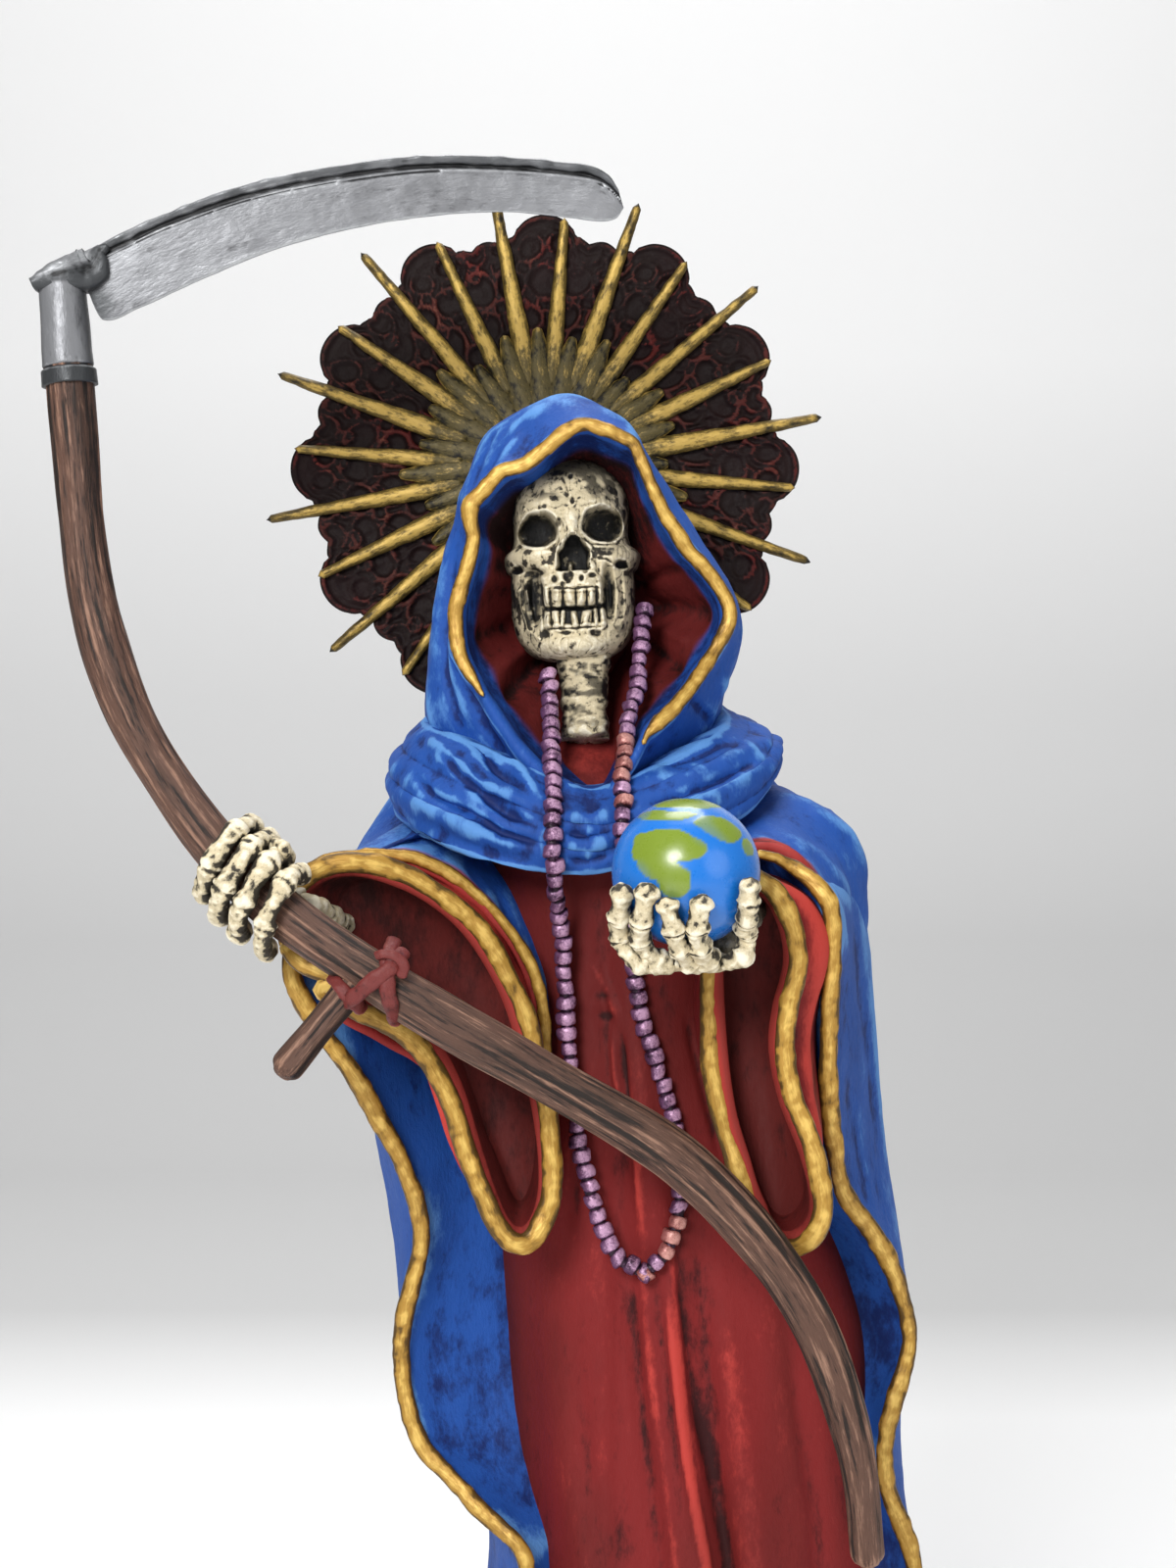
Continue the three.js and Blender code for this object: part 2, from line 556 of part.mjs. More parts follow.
function leftHand() {
  const fingerRadius = fingerDiameter / 2;
  const radius = globeRadius + 2 * glueGap + fingerRadius;
  const onGlobe = (turn, rise) => globeCentre.clone().add(new THREE.Vector3(
    radius * Math.cos(rise) * Math.sin(turn),
    -radius * Math.cos(rise) * Math.cos(turn),
    radius * Math.sin(rise),
  ));
  const fingers = globeFingers.map(([turn, tip]) => bar(
    curveThrough(spread(radians(-74), radians(tip), 5).map((rise) => onGlobe(radians(turn), rise))),
    (t) => fingerRadius * (0.78 + 0.2 * Math.sin(Math.PI * t) - 0.06 * Math.cos(6 * Math.PI * t)),
    5,
    5,
  ));
  const under = globeCentre.clone().add(new THREE.Vector3(0.5, 1, -radius - fingerRadius * 0.5));
  const palm = ellipsoid(under, [globeRadius * 0.56, globeRadius * 0.56, fingerRadius * 1.33], 8, 5);
  const heel = under.clone().add(new THREE.Vector3(2, 3, -fingerRadius));
  const wrist = bar(
    curveThrough([heel, place(7, -47, 206), place(11, -22, 208)]),
    (t) => (3.2 + bump(t - 0.35, 0.25)) * share,
    7,
    4,
  );
  return join([...fingers, palm, wrist]);
}

function globeBall(radius) {
  const ball = new THREE.SphereGeometry(radius, 16, 10);
  ball.rotateX(Math.PI / 2).translate(globeCentre.x, globeCentre.y, globeCentre.z);
  return solid(ball);
}

// Bead strands: each hangs from beside the neck to the bottom of the loop.
const strands = [
  [
    [-28, -13, 258], [-27.3, -19, 248.6], [-26.8, -29, 237], [-26.8, -35.5, 227], [-26.4, -35, 220],
    [-25, -27, 208], [-24, -25.5, 190], [-22.3, -25.8, 173], [-19.5, -26.5, 158], [-14.4, -28, 146.1],
    [-9.1, -28.5, 143],
  ],
  [
    [-9.2, -8, 266], [-10.3, -14, 257], [-12.3, -21, 247.5], [-13.4, -29, 238], [-13.6, -35, 228.6],
    [-12.9, -35, 219.6], [-11.9, -27, 206], [-9.7, -25.5, 191.9], [-6.5, -25.5, 181.6],
    [-3, -25.8, 170], [-2.4, -27, 156], [-5, -28.3, 147], [-9.1, -28.5, 143],
  ],
];

// The beads of a strand as one bar that swells at each bead and narrows between them.
function beads() {
  return strands.map((points) => {
    const curve = curveThrough(points.map((p) => place(...p)));
    const count = Math.round(curve.getLength() / beadPitch);
    const swell = (t) => (Math.round(t * 2 * count) % 2 === 1 ? 1 : 0.4);
    return bar(curve, (t) => (beadDiameter / 2) * swell(t), 4, 2 * count);
  });
}

// The halo's front face, the flat room for its rays behind the hood, and the stub it is glued to.
const hoodBack = 30 * share;
const haloFront = hoodBack + rayRise + 2 * glueGap;
const haloCentre = place(-29.4, 0, 305.4);
const stubCentre = place(-21, 0, 276);
const stubRadius = stubDiameter / 2;
const stubRoot = 6;

function stub(clearance) {
  const [from, to] = [hoodBack - stubRoot, haloFront - glueGap + clearance];
  const cylinder = new THREE.CylinderGeometry(stubRadius + clearance, stubRadius + clearance, to - from, 12);
  return solid(cylinder.translate(stubCentre.x, (from + to) / 2, stubCentre.z));
}

// Lumps that close the gaps under the cowl and at the left shoulder: centre and half sizes.
const lumps = [
  [[17, -35, 223], [6, 6, 6]], [[-38, -11, 242], [8, 10, 8]], [[-2, -11, 242], [8, 10, 8]],
].map(([centre, radii]) => ellipsoid(place(...centre), radii.map((radius) => radius * share), 8, 6));

function figure() {
  const bells = [rightSleeve, leftSleeve, rightDrape, leftDrape].map(bell);
  const cloth = [gown(), cloak(), cowl(), hood(), ...bells];
  const bones = [skull(), neck(), rightHand(), leftHand()];
  const whole = join([...cloth, ...bones, ...beads(), ...lumps]);
  const roomDepth = 20;
  const room = new THREE.BoxGeometry(haloRaySpan * 1.2, roomDepth, haloRaySpan * 1.1);
  room.translate(haloCentre.x, hoodBack + roomDepth / 2, haloCentre.z);
  return whole.subtract(shaftBar(gripGap)).subtract(solid(room)).add(stub(0));
}

// Halo: a scalloped disc behind the head, with long and short rays and a ring of leaves on its front.
// It is drawn flat, x to the figure's left and y up, with its front at +z.
const haloRadius = haloDiscDiameter / 2;
// The first ray stands this share of a ray's pitch to the figure's left of the top.
const haloTurn = 0.3;

// Outline radius: a large round lobe behind each short ray, and low scallops between.
function haloOutline(turn) {
  const step = (4 * Math.PI) / haloRayCount;
  const from = turn / step - Math.round(turn / step);
  const lobe = Math.sqrt(Math.max(0, 1 - (from / 0.25) ** 2));
  return haloRadius * (0.9 + 0.1 * lobe);
}

// A ray: a three-sided ridge that swells near its root and tapers to its tip, rooted in the disc.
function ray(turn, from, to, width, rise) {
  const along = new THREE.Vector3(Math.sin(turn), Math.cos(turn), 0);
  const across = new THREE.Vector3(Math.cos(turn), -Math.sin(turn), 0);
  const at = (s, out, height) => along.clone().multiplyScalar(from + (to - from) * s)
    .addScaledVector(across, out).setZ(height);
  // Share of the length, share of the width and share of the rise.
  const stations = [[0, 0.5, 0.4], [0.14, 1, 1], [1, 0.35, 0.4]];
  return loft(stations.map(([s, wide, high]) => [
    at(s, (-width * wide) / 2, haloThickness * 0.6),
    at(s, 0, haloThickness + rise * high),
    at(s, (width * wide) / 2, haloThickness * 0.6),
  ]));
}

// A leaf: a long octahedron, half sunk in the disc.
function leaf(turn, from, to, width, rise) {
  const shape = new THREE.OctahedronGeometry(1);
  shape.scale(width / 2, (to - from) / 2, rise).translate(0, (from + to) / 2, haloThickness);
  return solid(shape.rotateZ(-turn));
}

function halo() {
  const corners = spread(0, 2 * Math.PI, 3 * haloRayCount).slice(1).map((turn) => {
    const radius = haloOutline(turn);
    return new THREE.Vector2(radius * Math.sin(turn), radius * Math.cos(turn));
  });
  const outline = new THREE.Shape(corners);
  const disc = new THREE.ExtrudeGeometry(outline, { depth: haloThickness, bevelEnabled: false });
  const rays = Array.from({ length: haloRayCount }, (_, n) => {
    const turn = (2 * Math.PI * (n + haloTurn)) / haloRayCount;
    const tip = n % 2 === 0 ? haloRadius * 0.99 : haloRaySpan / 2;
    return [
      ray(turn, haloRadius * 0.44, tip, rayWidth, rayRise),
      leaf(turn + Math.PI / haloRayCount, haloRadius * 0.16, haloRadius * 0.53, leafWidth, rayRise * 0.85),
    ];
  }).flat();
  const upright = new THREE.Matrix4().makeTranslation(haloCentre.x, haloFront + haloThickness, haloCentre.z);
  upright.multiply(new THREE.Matrix4().makeRotationX(Math.PI / 2));
  return join([solid(disc), ...rays]).transform(upright.elements).subtract(stub(glueGap));
}

function base() {
  const rim = (inset, z) => spread(0, 2 * Math.PI, 36).slice(1).map((turn) => new THREE.Vector3(
    (baseWidth / 2 - inset) * Math.sin(turn),
    (inset - baseDepth / 2) * Math.cos(turn),
    z,
  ));
  const [foot, edge] = [rim(footBevel, 0), rim(0, footBevel)];
  return loft([foot, edge, rim(0, baseHeight - baseBevel), rim(baseBevel, baseHeight)]);
}

const part = new THREE.Group();
part.add(
  mesh('figure', figure(), 0x2f6fc4, 0.7),
  mesh('scythe', scythe(), 0x6b4a3c, 0.75),
  mesh('halo', halo(), 0x8a6a30, 0.6),
  mesh('globe', globeBall(globeRadius), 0x2f86d6, 0.35),
  mesh('base', base(), 0x3a2a26, 0.75),
);

export default part;
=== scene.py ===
import bpy
import numpy as np
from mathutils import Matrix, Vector


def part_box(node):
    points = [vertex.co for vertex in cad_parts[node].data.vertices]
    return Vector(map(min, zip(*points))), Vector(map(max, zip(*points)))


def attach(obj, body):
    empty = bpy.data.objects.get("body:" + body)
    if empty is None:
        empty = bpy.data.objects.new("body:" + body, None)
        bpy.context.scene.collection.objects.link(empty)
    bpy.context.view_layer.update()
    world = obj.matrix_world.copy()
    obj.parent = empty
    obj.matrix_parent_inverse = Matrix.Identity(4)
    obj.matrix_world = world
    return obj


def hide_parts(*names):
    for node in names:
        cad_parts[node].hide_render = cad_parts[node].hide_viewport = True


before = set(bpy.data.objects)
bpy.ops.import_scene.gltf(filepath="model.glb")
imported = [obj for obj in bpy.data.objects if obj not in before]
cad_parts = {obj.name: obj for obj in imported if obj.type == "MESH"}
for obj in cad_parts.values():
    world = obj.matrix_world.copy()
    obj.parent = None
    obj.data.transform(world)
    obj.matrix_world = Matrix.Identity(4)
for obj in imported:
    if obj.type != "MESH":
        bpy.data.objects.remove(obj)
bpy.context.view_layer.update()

MM = 0.001
TAU = 2 * np.pi
# Large odd numbers that scatter the corners, the seeds and the keys of noise.
SCATTER = (374761393, 668265263, 2246822519)
SEED_SCATTER = 3266489917
KEY_SCATTER = 1274126177


def box_mm(node):
    """The low and high corners of a CAD node's box, in millimetres."""
    low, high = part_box(node)
    return np.array(low) / MM, np.array(high) / MM


figure_low, figure_high = box_mm("figure")
globe_low, globe_high = box_mm("globe")
_, halo_high = box_mm("halo")
base_low, base_high = box_mm("base")

TABLE_HEIGHT = 300.2
TABLE_FOOT = 15.0
share = (figure_high[2] - figure_low[2]) / TABLE_HEIGHT
footing = figure_low[2]


def place(x, y, z):
    """Table coordinates as points: x and y times the share, z counted from the figure's foot."""
    x, y, z = np.broadcast_arrays(x, y, z)
    return np.stack([x * share, y * share, footing + (z - TABLE_FOOT) * share], -1)


def at(rows):
    """Rows of table coordinates as points."""
    return place(*np.array(rows, float).T)


# Numbers


def smooth(x, low, high):
    """0 below low, 1 above high, and a cubic ease between."""
    t = np.clip((np.asarray(x, float) - low) / (high - low), 0, 1)
    return t * t * (3 - 2 * t)


def bump(x, width):
    """A bell curve of height 1: e to the minus (x / width) squared."""
    return np.exp(-((np.asarray(x, float) / width) ** 2))


def circle(count):
    """count angles evenly spaced round a full turn."""
    return np.linspace(0, TAU, count, endpoint=False)


def mix(a, b, t):
    """a where t is 0, b where t is 1, and a straight blend between."""
    return a + (b - a) * t


def table(rows):
    """A cubic curve through rows of [key, value, ...]. Its slope at a row is that of the line between the
    rows on either side."""
    rows = np.array(rows, float)
    keys, values = rows[:, 0], rows[:, 1:]
    steps = np.arange(len(keys))
    before, after = np.maximum(steps - 1, 0), np.minimum(steps + 1, len(keys) - 1)
    slopes = (values[after] - values[before]) / (keys[after] - keys[before])[:, None]

    def look_up(key):
        """The curve's values at keys, held at both its ends."""
        t = np.clip(key, keys[0], keys[-1])
        row = np.clip(np.searchsorted(keys, t, side="right") - 1, 0, len(keys) - 2)
        step = (keys[row + 1] - keys[row])[..., None]
        s = (t - keys[row])[..., None] / step
        ease = 3 * s**2 - 2 * s**3
        leave = (s**3 - 2 * s**2 + s) * step * slopes[row]
        arrive = (s**3 - s**2) * step * slopes[row + 1]
        return np.moveaxis(mix(values[row], values[row + 1], ease) + leave + arrive, -1, 0)

    return look_up


def noise(points, size, seed=0):
    """Smooth noise from -1 to 1: a random number at each corner of a cubic lattice of this size, blended by
    smoothsteps."""
    p = np.asarray(points, float) / size
    cell = np.floor(p).astype(np.int64)
    f = p - cell
    f = f * f * (3 - 2 * f)
    total = np.zeros(p.shape[:-1])
    for corner in range(8):
        offset = np.array([corner & 1, corner >> 1 & 1, corner >> 2 & 1])
        key = ((cell + offset) * SCATTER).sum(-1) + seed * SEED_SCATTER
        key = (key ^ (key >> 13)) * KEY_SCATTER & 0xFFFFFFFF
        key = (key ^ (key >> 16)) & 0xFFFF
        total += np.prod(np.where(offset, f, 1 - f), -1) * (key / 0xFFFF)
    return 2 * total - 1


def rough_noise(points, size, octaves=3, seed=0):
    """Noise at several sizes, each half the last and half as strong."""
    parts = [noise(points, size / 2**k, seed + k) / 2**k for k in range(octaves)]
    return sum(parts) / sum(0.5**k for k in range(octaves))


def on_table(points):
    """x and z of points in table coordinates."""
    return points[..., 0] / share, (points[..., 2] - footing) / share + TABLE_FOOT


def strokes(u, v, rows):
    """A sum of strokes on the plane of u and v: each is a bell curve of the distance to a broken line,
    times its rise, and fades towards both ends of the line."""
    total = np.zeros(np.broadcast(u, v).shape)
    for points, width, rise in rows:
        nearest, reached, length = np.full(total.shape, np.inf), np.zeros(total.shape), 0.0
        for a, b in zip(np.array(points[:-1], float), np.array(points[1:], float)):
            way = b - a
            t = np.clip(((u - a[0]) * way[0] + (v - a[1]) * way[1]) / (way @ way), 0, 1)
            off = np.hypot(u - a[0] - t * way[0], v - a[1] - t * way[1])
            reached = np.where(off < nearest, length + t * np.hypot(*way), reached)
            nearest = np.minimum(nearest, off)
            length += np.hypot(*way)
        to_end = np.minimum(reached, length - reached) / length
        total += rise * bump(nearest, width) * smooth(to_end, -0.1, 0.25)
    return total


def unit(v):
    """Vectors scaled to length 1."""
    return v / np.maximum(np.linalg.norm(v, axis=-1, keepdims=True), 1e-9)


# Curves


def reach_along(line):
    """How far along a line of points each point lies: the sum of the steps before it."""
    return np.r_[0, np.cumsum(np.linalg.norm(np.diff(line, axis=0), axis=1))]


def spline(points):
    """A centripetal Catmull-Rom curve through the points, as a function of t from 0 to 1 that gives each
    span an equal part."""
    p = np.asarray(points, float)
    spans = len(p) - 1
    p = np.vstack([2 * p[0] - p[1], p, 2 * p[-1] - p[-2]])

    def root_gap(a, b):
        """The square root of the distance between points."""
        return np.sqrt(np.linalg.norm(b - a, axis=-1, keepdims=True)) + 1e-9

    def point(t):
        """The cubic of the span that t lies in, from the slopes at both its ends."""
        index = np.clip(t, 0, 1) * spans
        span = np.minimum(index.astype(int), spans - 1)
        w = (index - span)[..., None]
        a, b, c, d = (p[span + k] for k in range(4))
        before, here, after = root_gap(a, b), root_gap(b, c), root_gap(c, d)
        leave = ((b - a) / before - (c - a) / (before + here) + (c - b) / here) * here
        arrive = ((c - b) / here - (d - b) / (here + after) + (d - c) / after) * here
        square, cube = 3 * (c - b) - 2 * leave - arrive, 2 * (b - c) + leave + arrive
        return b + leave * w + square * w**2 + cube * w**3

    return point


def even(line, count):
    """A line of points resampled to count points evenly spaced along its length."""
    reach = reach_along(line)
    s = np.linspace(0, reach[-1], count)
    return np.stack([np.interp(s, reach, line[:, k]) for k in range(3)], -1)


def route(points, count):
    """count points evenly spaced along the spline through the points."""
    return even(spline(points)(np.linspace(0, 1, 60 * len(points))), count)


def frames(line, reference):
    """At each point of a line: its direction, the reference turned square to it, and the direction square
    to both."""
    along = unit(np.gradient(line, axis=0))
    reference = np.broadcast_to(np.asarray(reference, float), line.shape)
    first = unit(reference - (reference * along).sum(-1, keepdims=True) * along)
    return along, first, np.cross(along, first)


# Surfaces. A surface is a dict: a grid of points, whether its columns join end to end, which ends are
# capped, and values per point. Columns run anticlockwise seen from the last row looking back, so its faces
# point out.


def surface(grid, wrap=True, caps=(True, True), **values):
    """A surface from its grid of points. Its flow, the place that its paint is drawn at, is the grid itself
    unless another is given."""
    return {"grid": grid, "wrap": wrap, "caps": caps, "flow": grid, **values}


def tube(line, radius, reference, sides=16, ends=True):
    """A bar along a line: a ring of points across it at each step, counted from the reference. radius has a
    row for each step, of one value or of one for each side, and ends rounds both ends as quarter
    circles."""
    reach = reach_along(line)[:, None]
    if ends:
        near = np.minimum(reach, reach[-1] - reach) / np.maximum(radius.mean(1, keepdims=True), 1e-6)
        radius = radius * np.sqrt(np.clip(near * (2 - near), 0.02, 1) * (near < 1) + (near >= 1))
    _, first, second = frames(line, reference)
    out, over = radius * np.cos(circle(sides)), radius * np.sin(circle(sides))
    grid = line[:, None] + out[..., None] * first[:, None] + over[..., None] * second[:, None]
    return surface(grid, flow=np.stack(np.broadcast_arrays(out, over, reach), -1))


def blurred(a, times, wrap):
    """Repeated averages of each value with its neighbours, 1-2-1 in both directions."""
    for _ in range(times):
        for axis, joined in ((0, False), (1, wrap)):
            if joined:
                before, after = np.roll(a, 1, axis), np.roll(a, -1, axis)
            else:
                before = np.concatenate([a.take([0], axis), a.take(range(a.shape[axis] - 1), axis)], axis)
                after = np.concatenate([a.take(range(1, a.shape[axis]), axis), a.take([-1], axis)], axis)
            a = (2 * a + before + after) / 4
    return a


def grid_normals(grid, wrap):
    """Outward normals: the cross product of the directions along a row and up a column."""
    if wrap:
        across = np.roll(grid, -1, 1) - np.roll(grid, 1, 1)
    else:
        across = np.gradient(grid, axis=1)
    return unit(np.cross(across, np.gradient(grid, axis=0)))


def relieved(s, height):
    """The surface moved out along its normals by height at each point."""
    s = dict(s)
    s["grid"] = s["grid"] + grid_normals(s["grid"], s["wrap"]) * np.asarray(height)[..., None]
    return s


def slab(line, out, wide, reference, sides=20, power=4.0, ends=True):
    """A bar whose section is a superellipse: half size out along the reference and wide across it."""
    out, wide = np.reshape(out, (-1, 1)), np.reshape(wide, (-1, 1))
    angle = circle(sides)
    total = np.abs(np.cos(angle) / out) ** power + np.abs(np.sin(angle) / wide) ** power
    return tube(line, total ** (-1 / power), reference, sides, ends)


def hollows(s, times, depth, broad=0, broad_depth=1.0, axis=None):
    """Sets the dark and pale values: how far a point lies under or over the blurred surface, as shares of
    depth, counted from the usual gap, or from the usual gap along the rows with axis 0. At a small blur
    they are the dark paint in hollows and the rubbed paint on ridges. broad adds the same over a wide blur:
    painted shade down whole folds and painted highlight on their crests."""
    s = dict(s)
    normals = grid_normals(s["grid"], s["wrap"])
    for count, full in ((times, depth), (broad, broad_depth)):
        gap = ((blurred(s["grid"], count, s["wrap"]) - s["grid"]) * normals).sum(-1)
        gap -= np.median(gap, axis)
        s["wash"] = np.clip(s.get("wash", 0) + gap / full, 0, 1)
        s["worn"] = np.clip(s.get("worn", 0) - gap / full, 0, 1)
    return s


def grid_faces(rows, columns, wrap, caps, start):
    """Quads of a grid of points numbered from start, fans of triangles to one extra point at each capped
    end, and the next free number."""
    numbers = start + np.arange(rows * columns).reshape(rows, columns)
    across = np.roll(numbers, -1, 1) if wrap else numbers[:, 1:]
    here = numbers if wrap else numbers[:, :-1]
    quads = np.stack([here[:-1], across[:-1], across[1:], here[1:]], -1).reshape(-1, 4)
    fans = []
    extra = start + rows * columns
    for end, (row, capped) in enumerate(zip((0, -1), caps)):
        if capped:
            pair = (across[row], here[row]) if end == 0 else (here[row], across[row])
            fans.append(np.stack([*pair, np.full(here.shape[1], extra)], -1))
            extra += 1
    return quads, (np.concatenate(fans) if fans else np.zeros((0, 3), int)), extra


def piece(name, surfaces, material, replaces=()):
    """One Blender object from several surfaces, with these values on its points: dark paint and painted
    shade, rubbed paint and painted highlight, tint and flow.
    """
    values = {"wash": [], "worn": [], "tint": []}
    points, flows, quads, triangles, start = [], [], [], [], 0
    for s in surfaces:
        grid, caps = s["grid"], s["caps"]
        rows, columns = grid.shape[:2]
        ends = [row for row, capped in zip((0, -1), caps) if capped]
        new_quads, new_triangles, start = grid_faces(rows, columns, s["wrap"], caps, start)
        quads.append(new_quads)
        triangles.append(new_triangles)
        points += [grid.reshape(-1, 3)] + [grid[row].mean(0, keepdims=True) for row in ends]
        flows += [s["flow"].reshape(-1, 3)] + [s["flow"][row].mean(0, keepdims=True) for row in ends]
        for key, store in values.items():
            full = np.broadcast_to(np.asarray(s.get(key, 0.0), float), (rows, columns))
            store += [full.ravel()] + [full[row].mean(keepdims=True) for row in ends]
    points, quads, triangles = np.concatenate(points), np.concatenate(quads), np.concatenate(triangles)
    mesh = bpy.data.meshes.new(name)
    mesh.vertices.add(len(points))
    mesh.vertices.foreach_set("co", (points * MM).ravel())
    corners = np.concatenate([quads.ravel(), triangles.ravel()])
    mesh.loops.add(len(corners))
    mesh.loops.foreach_set("vertex_index", corners)
    starts = np.r_[np.arange(len(quads)) * 4, 4 * len(quads) + np.arange(len(triangles)) * 3]
    mesh.polygons.add(len(starts))
    mesh.polygons.foreach_set("loop_start", starts)
    mesh.update(calc_edges=True)
    mesh.polygons.foreach_set("use_smooth", np.ones(len(starts), bool))
    for key, store in values.items():
        mesh.attributes.new(key, "FLOAT", "POINT").data.foreach_set("value", np.concatenate(store))
    flow = mesh.attributes.new("flow", "FLOAT_VECTOR", "POINT")
    flow.data.foreach_set("vector", (np.concatenate(flows) * MM).ravel())
    mesh.materials.append(material)
    made = bpy.data.objects.new(name, mesh)
    bpy.context.scene.collection.objects.link(made)
    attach(made, "root")
    if replaces:
        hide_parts(*replaces)
    return made


# Materials
PAINT_COLOURS = ("Base", "Shade", "Light", "Tint Base", "Tint Shade", "Tint Light")


class Nodes:
    """Short calls for adding and joining the nodes of one tree."""

    def __init__(self, tree):
        """tree is the one that the nodes are added to."""
        self.tree = tree

    def add(self, kind, **settings):
        """A new node, with its settings, and with each of inputs joined or set."""
        node = self.tree.nodes.new(kind)
        inputs = settings.pop("inputs", {})
        for key, value in settings.items():
            setattr(node, key, value)
        for key, value in inputs.items():
            if isinstance(value, bpy.types.NodeSocket):
                self.tree.links.new(value, node.inputs[key])
            else:
                node.inputs[key].default_value = value
        return node

    def maths(self, operation, a, b=0.0, clamp=False):
        """The result of one Math node on two values."""
        node = self.add("ShaderNodeMath", operation=operation, use_clamp=clamp, inputs={0: a, 1: b})
        return node.outputs[0]

    def value(self, name):
        """A value that the mesh holds at its points."""
        return self.add("ShaderNodeAttribute", attribute_name=name).outputs["Fac"]

    def blend(self, amount, a, b):
        """The colour a where the amount is 0 and b where it is 1."""
        node = self.add("ShaderNodeMix", data_type="RGBA", inputs={0: amount, 6: a, 7: b})
        return node.outputs[2]

    def grains(self, vector, scale, detail=3.0, roughness=0.6):
        """Noise at a place, of this many grains to the metre."""
        return self.add("ShaderNodeTexNoise", inputs={
            "Vector": vector, "Scale": scale, "Detail": detail, "Roughness": roughness}).outputs["Fac"]


def facing(s):
    """1 where a surface faces the front, and 0 where it faces sideways or back."""
    return smooth(-grid_normals(s["grid"], s["wrap"])[..., 1], 0.1, 0.45)


def creased(s, rows):
    """The surface raised and sunk by strokes drawn on its front."""
    return relieved(s, strokes(*on_table(s["grid"]), rows) * facing(s))


def washed_paint():
    """Paint darkened in hollows and paled on ridges, by dark and rubbed paint and by painted shade and
    painted highlight. Shade stays in hollows and shaded places and Light on ridges and lit places, both
    with ragged edges, and noise of three sizes leaves flecks of them elsewhere. Stretch lengthens the noise
    along the third direction of flow. The Tint colours take over where tint is 1."""
    tree = bpy.data.node_groups.new("washed_paint", "ShaderNodeTree")
    ask = tree.interface.new_socket
    for name in PAINT_COLOURS:
        ask(name=name, in_out="INPUT", socket_type="NodeSocketColor")
    ask(name="Stretch", in_out="INPUT", socket_type="NodeSocketVector")
    for name in ("Scale", "Mottle", "Wash And Shade", "Wear And Highlight", "Rough"):
        ask(name=name, in_out="INPUT", socket_type="NodeSocketFloat")
    results = {"Color": "NodeSocketColor", "Roughness": "NodeSocketFloat", "Height": "NodeSocketFloat"}
    for name, kind in results.items():
        ask(name=name, in_out="OUTPUT", socket_type=kind)
    n = Nodes(tree)
    given = n.add("NodeGroupInput").outputs
    flow = n.add("ShaderNodeAttribute", attribute_name="flow").outputs["Vector"]
    longer = n.add("ShaderNodeVectorMath", operation="MULTIPLY", inputs={0: flow, 1: given["Stretch"]})
    flow = longer.outputs[0]
    large = n.grains(flow, n.maths("MULTIPLY", given["Scale"], 0.2))
    middle = n.grains(flow, given["Scale"], 4.0, 0.65)
    fine = n.grains(flow, n.maths("MULTIPLY", given["Scale"], 3.1), 3.0, 0.7)
    tint = n.value("tint")
    base, shade, light = (n.blend(tint, given[name], given["Tint " + name]) for name in PAINT_COLOURS[:3])
    wash = n.maths("MULTIPLY", n.value("wash"), given["Wash And Shade"])
    worn = n.maths("MULTIPLY", n.value("worn"), given["Wear And Highlight"])

    def lean(grains, times):
        """The noise counted from its middle, times a number and Mottle."""
        centred = n.maths("SUBTRACT", grains, 0.5)
        return n.maths("MULTIPLY", n.maths("MULTIPLY", centred, times), given["Mottle"])

    def mask(parts, low, high):
        """The sum of the parts, eased between low and high."""
        total = parts[0]
        for part in parts[1:]:
            total = n.maths("ADD", total, part)
        return n.add("ShaderNodeMapRange", interpolation_type="SMOOTHSTEP", inputs={
            "Value": total, "From Min": low, "From Max": high}).outputs["Result"]

    less_worn, less_wash = n.maths("MULTIPLY", worn, -0.3), n.maths("MULTIPLY", wash, -0.5)
    dark = mask([wash, lean(large, 2.6), lean(middle, 3.6), lean(fine, 1.8), less_worn], 0.08, 0.66)
    pale = mask([worn, lean(large, -2.2), lean(middle, -2.4), lean(fine, -2.4), less_wash], 0.15, 0.9)
    colour = n.blend(mask([lean(large, 3.5)], -0.1, 0.9), base, shade)
    colour = n.blend(n.maths("MULTIPLY", dark, 0.95), colour, shade)
    colour = n.blend(n.maths("MULTIPLY", pale, 0.9), colour, light)
    grain = n.maths("MULTIPLY", n.maths("SUBTRACT", fine, 0.5), 0.35)
    rough = n.maths("ADD", given["Rough"], grain, clamp=True)
    height = n.maths("ADD", n.maths("MULTIPLY", middle, 0.6), n.maths("MULTIPLY", fine, 0.4))
    n.add("NodeGroupOutput", inputs={"Color": colour, "Roughness": rough, "Height": height})
    return tree


PAINT = washed_paint()


def rgb(*values):
    """A screen colour, 0 to 255, as the linear values that shaders take."""
    c = np.array(values, float) / 255
    linear = np.where(c > 0.04045, ((c + 0.055) / 1.055) ** 2.4, c / 12.92)
    return (*linear, 1.0)


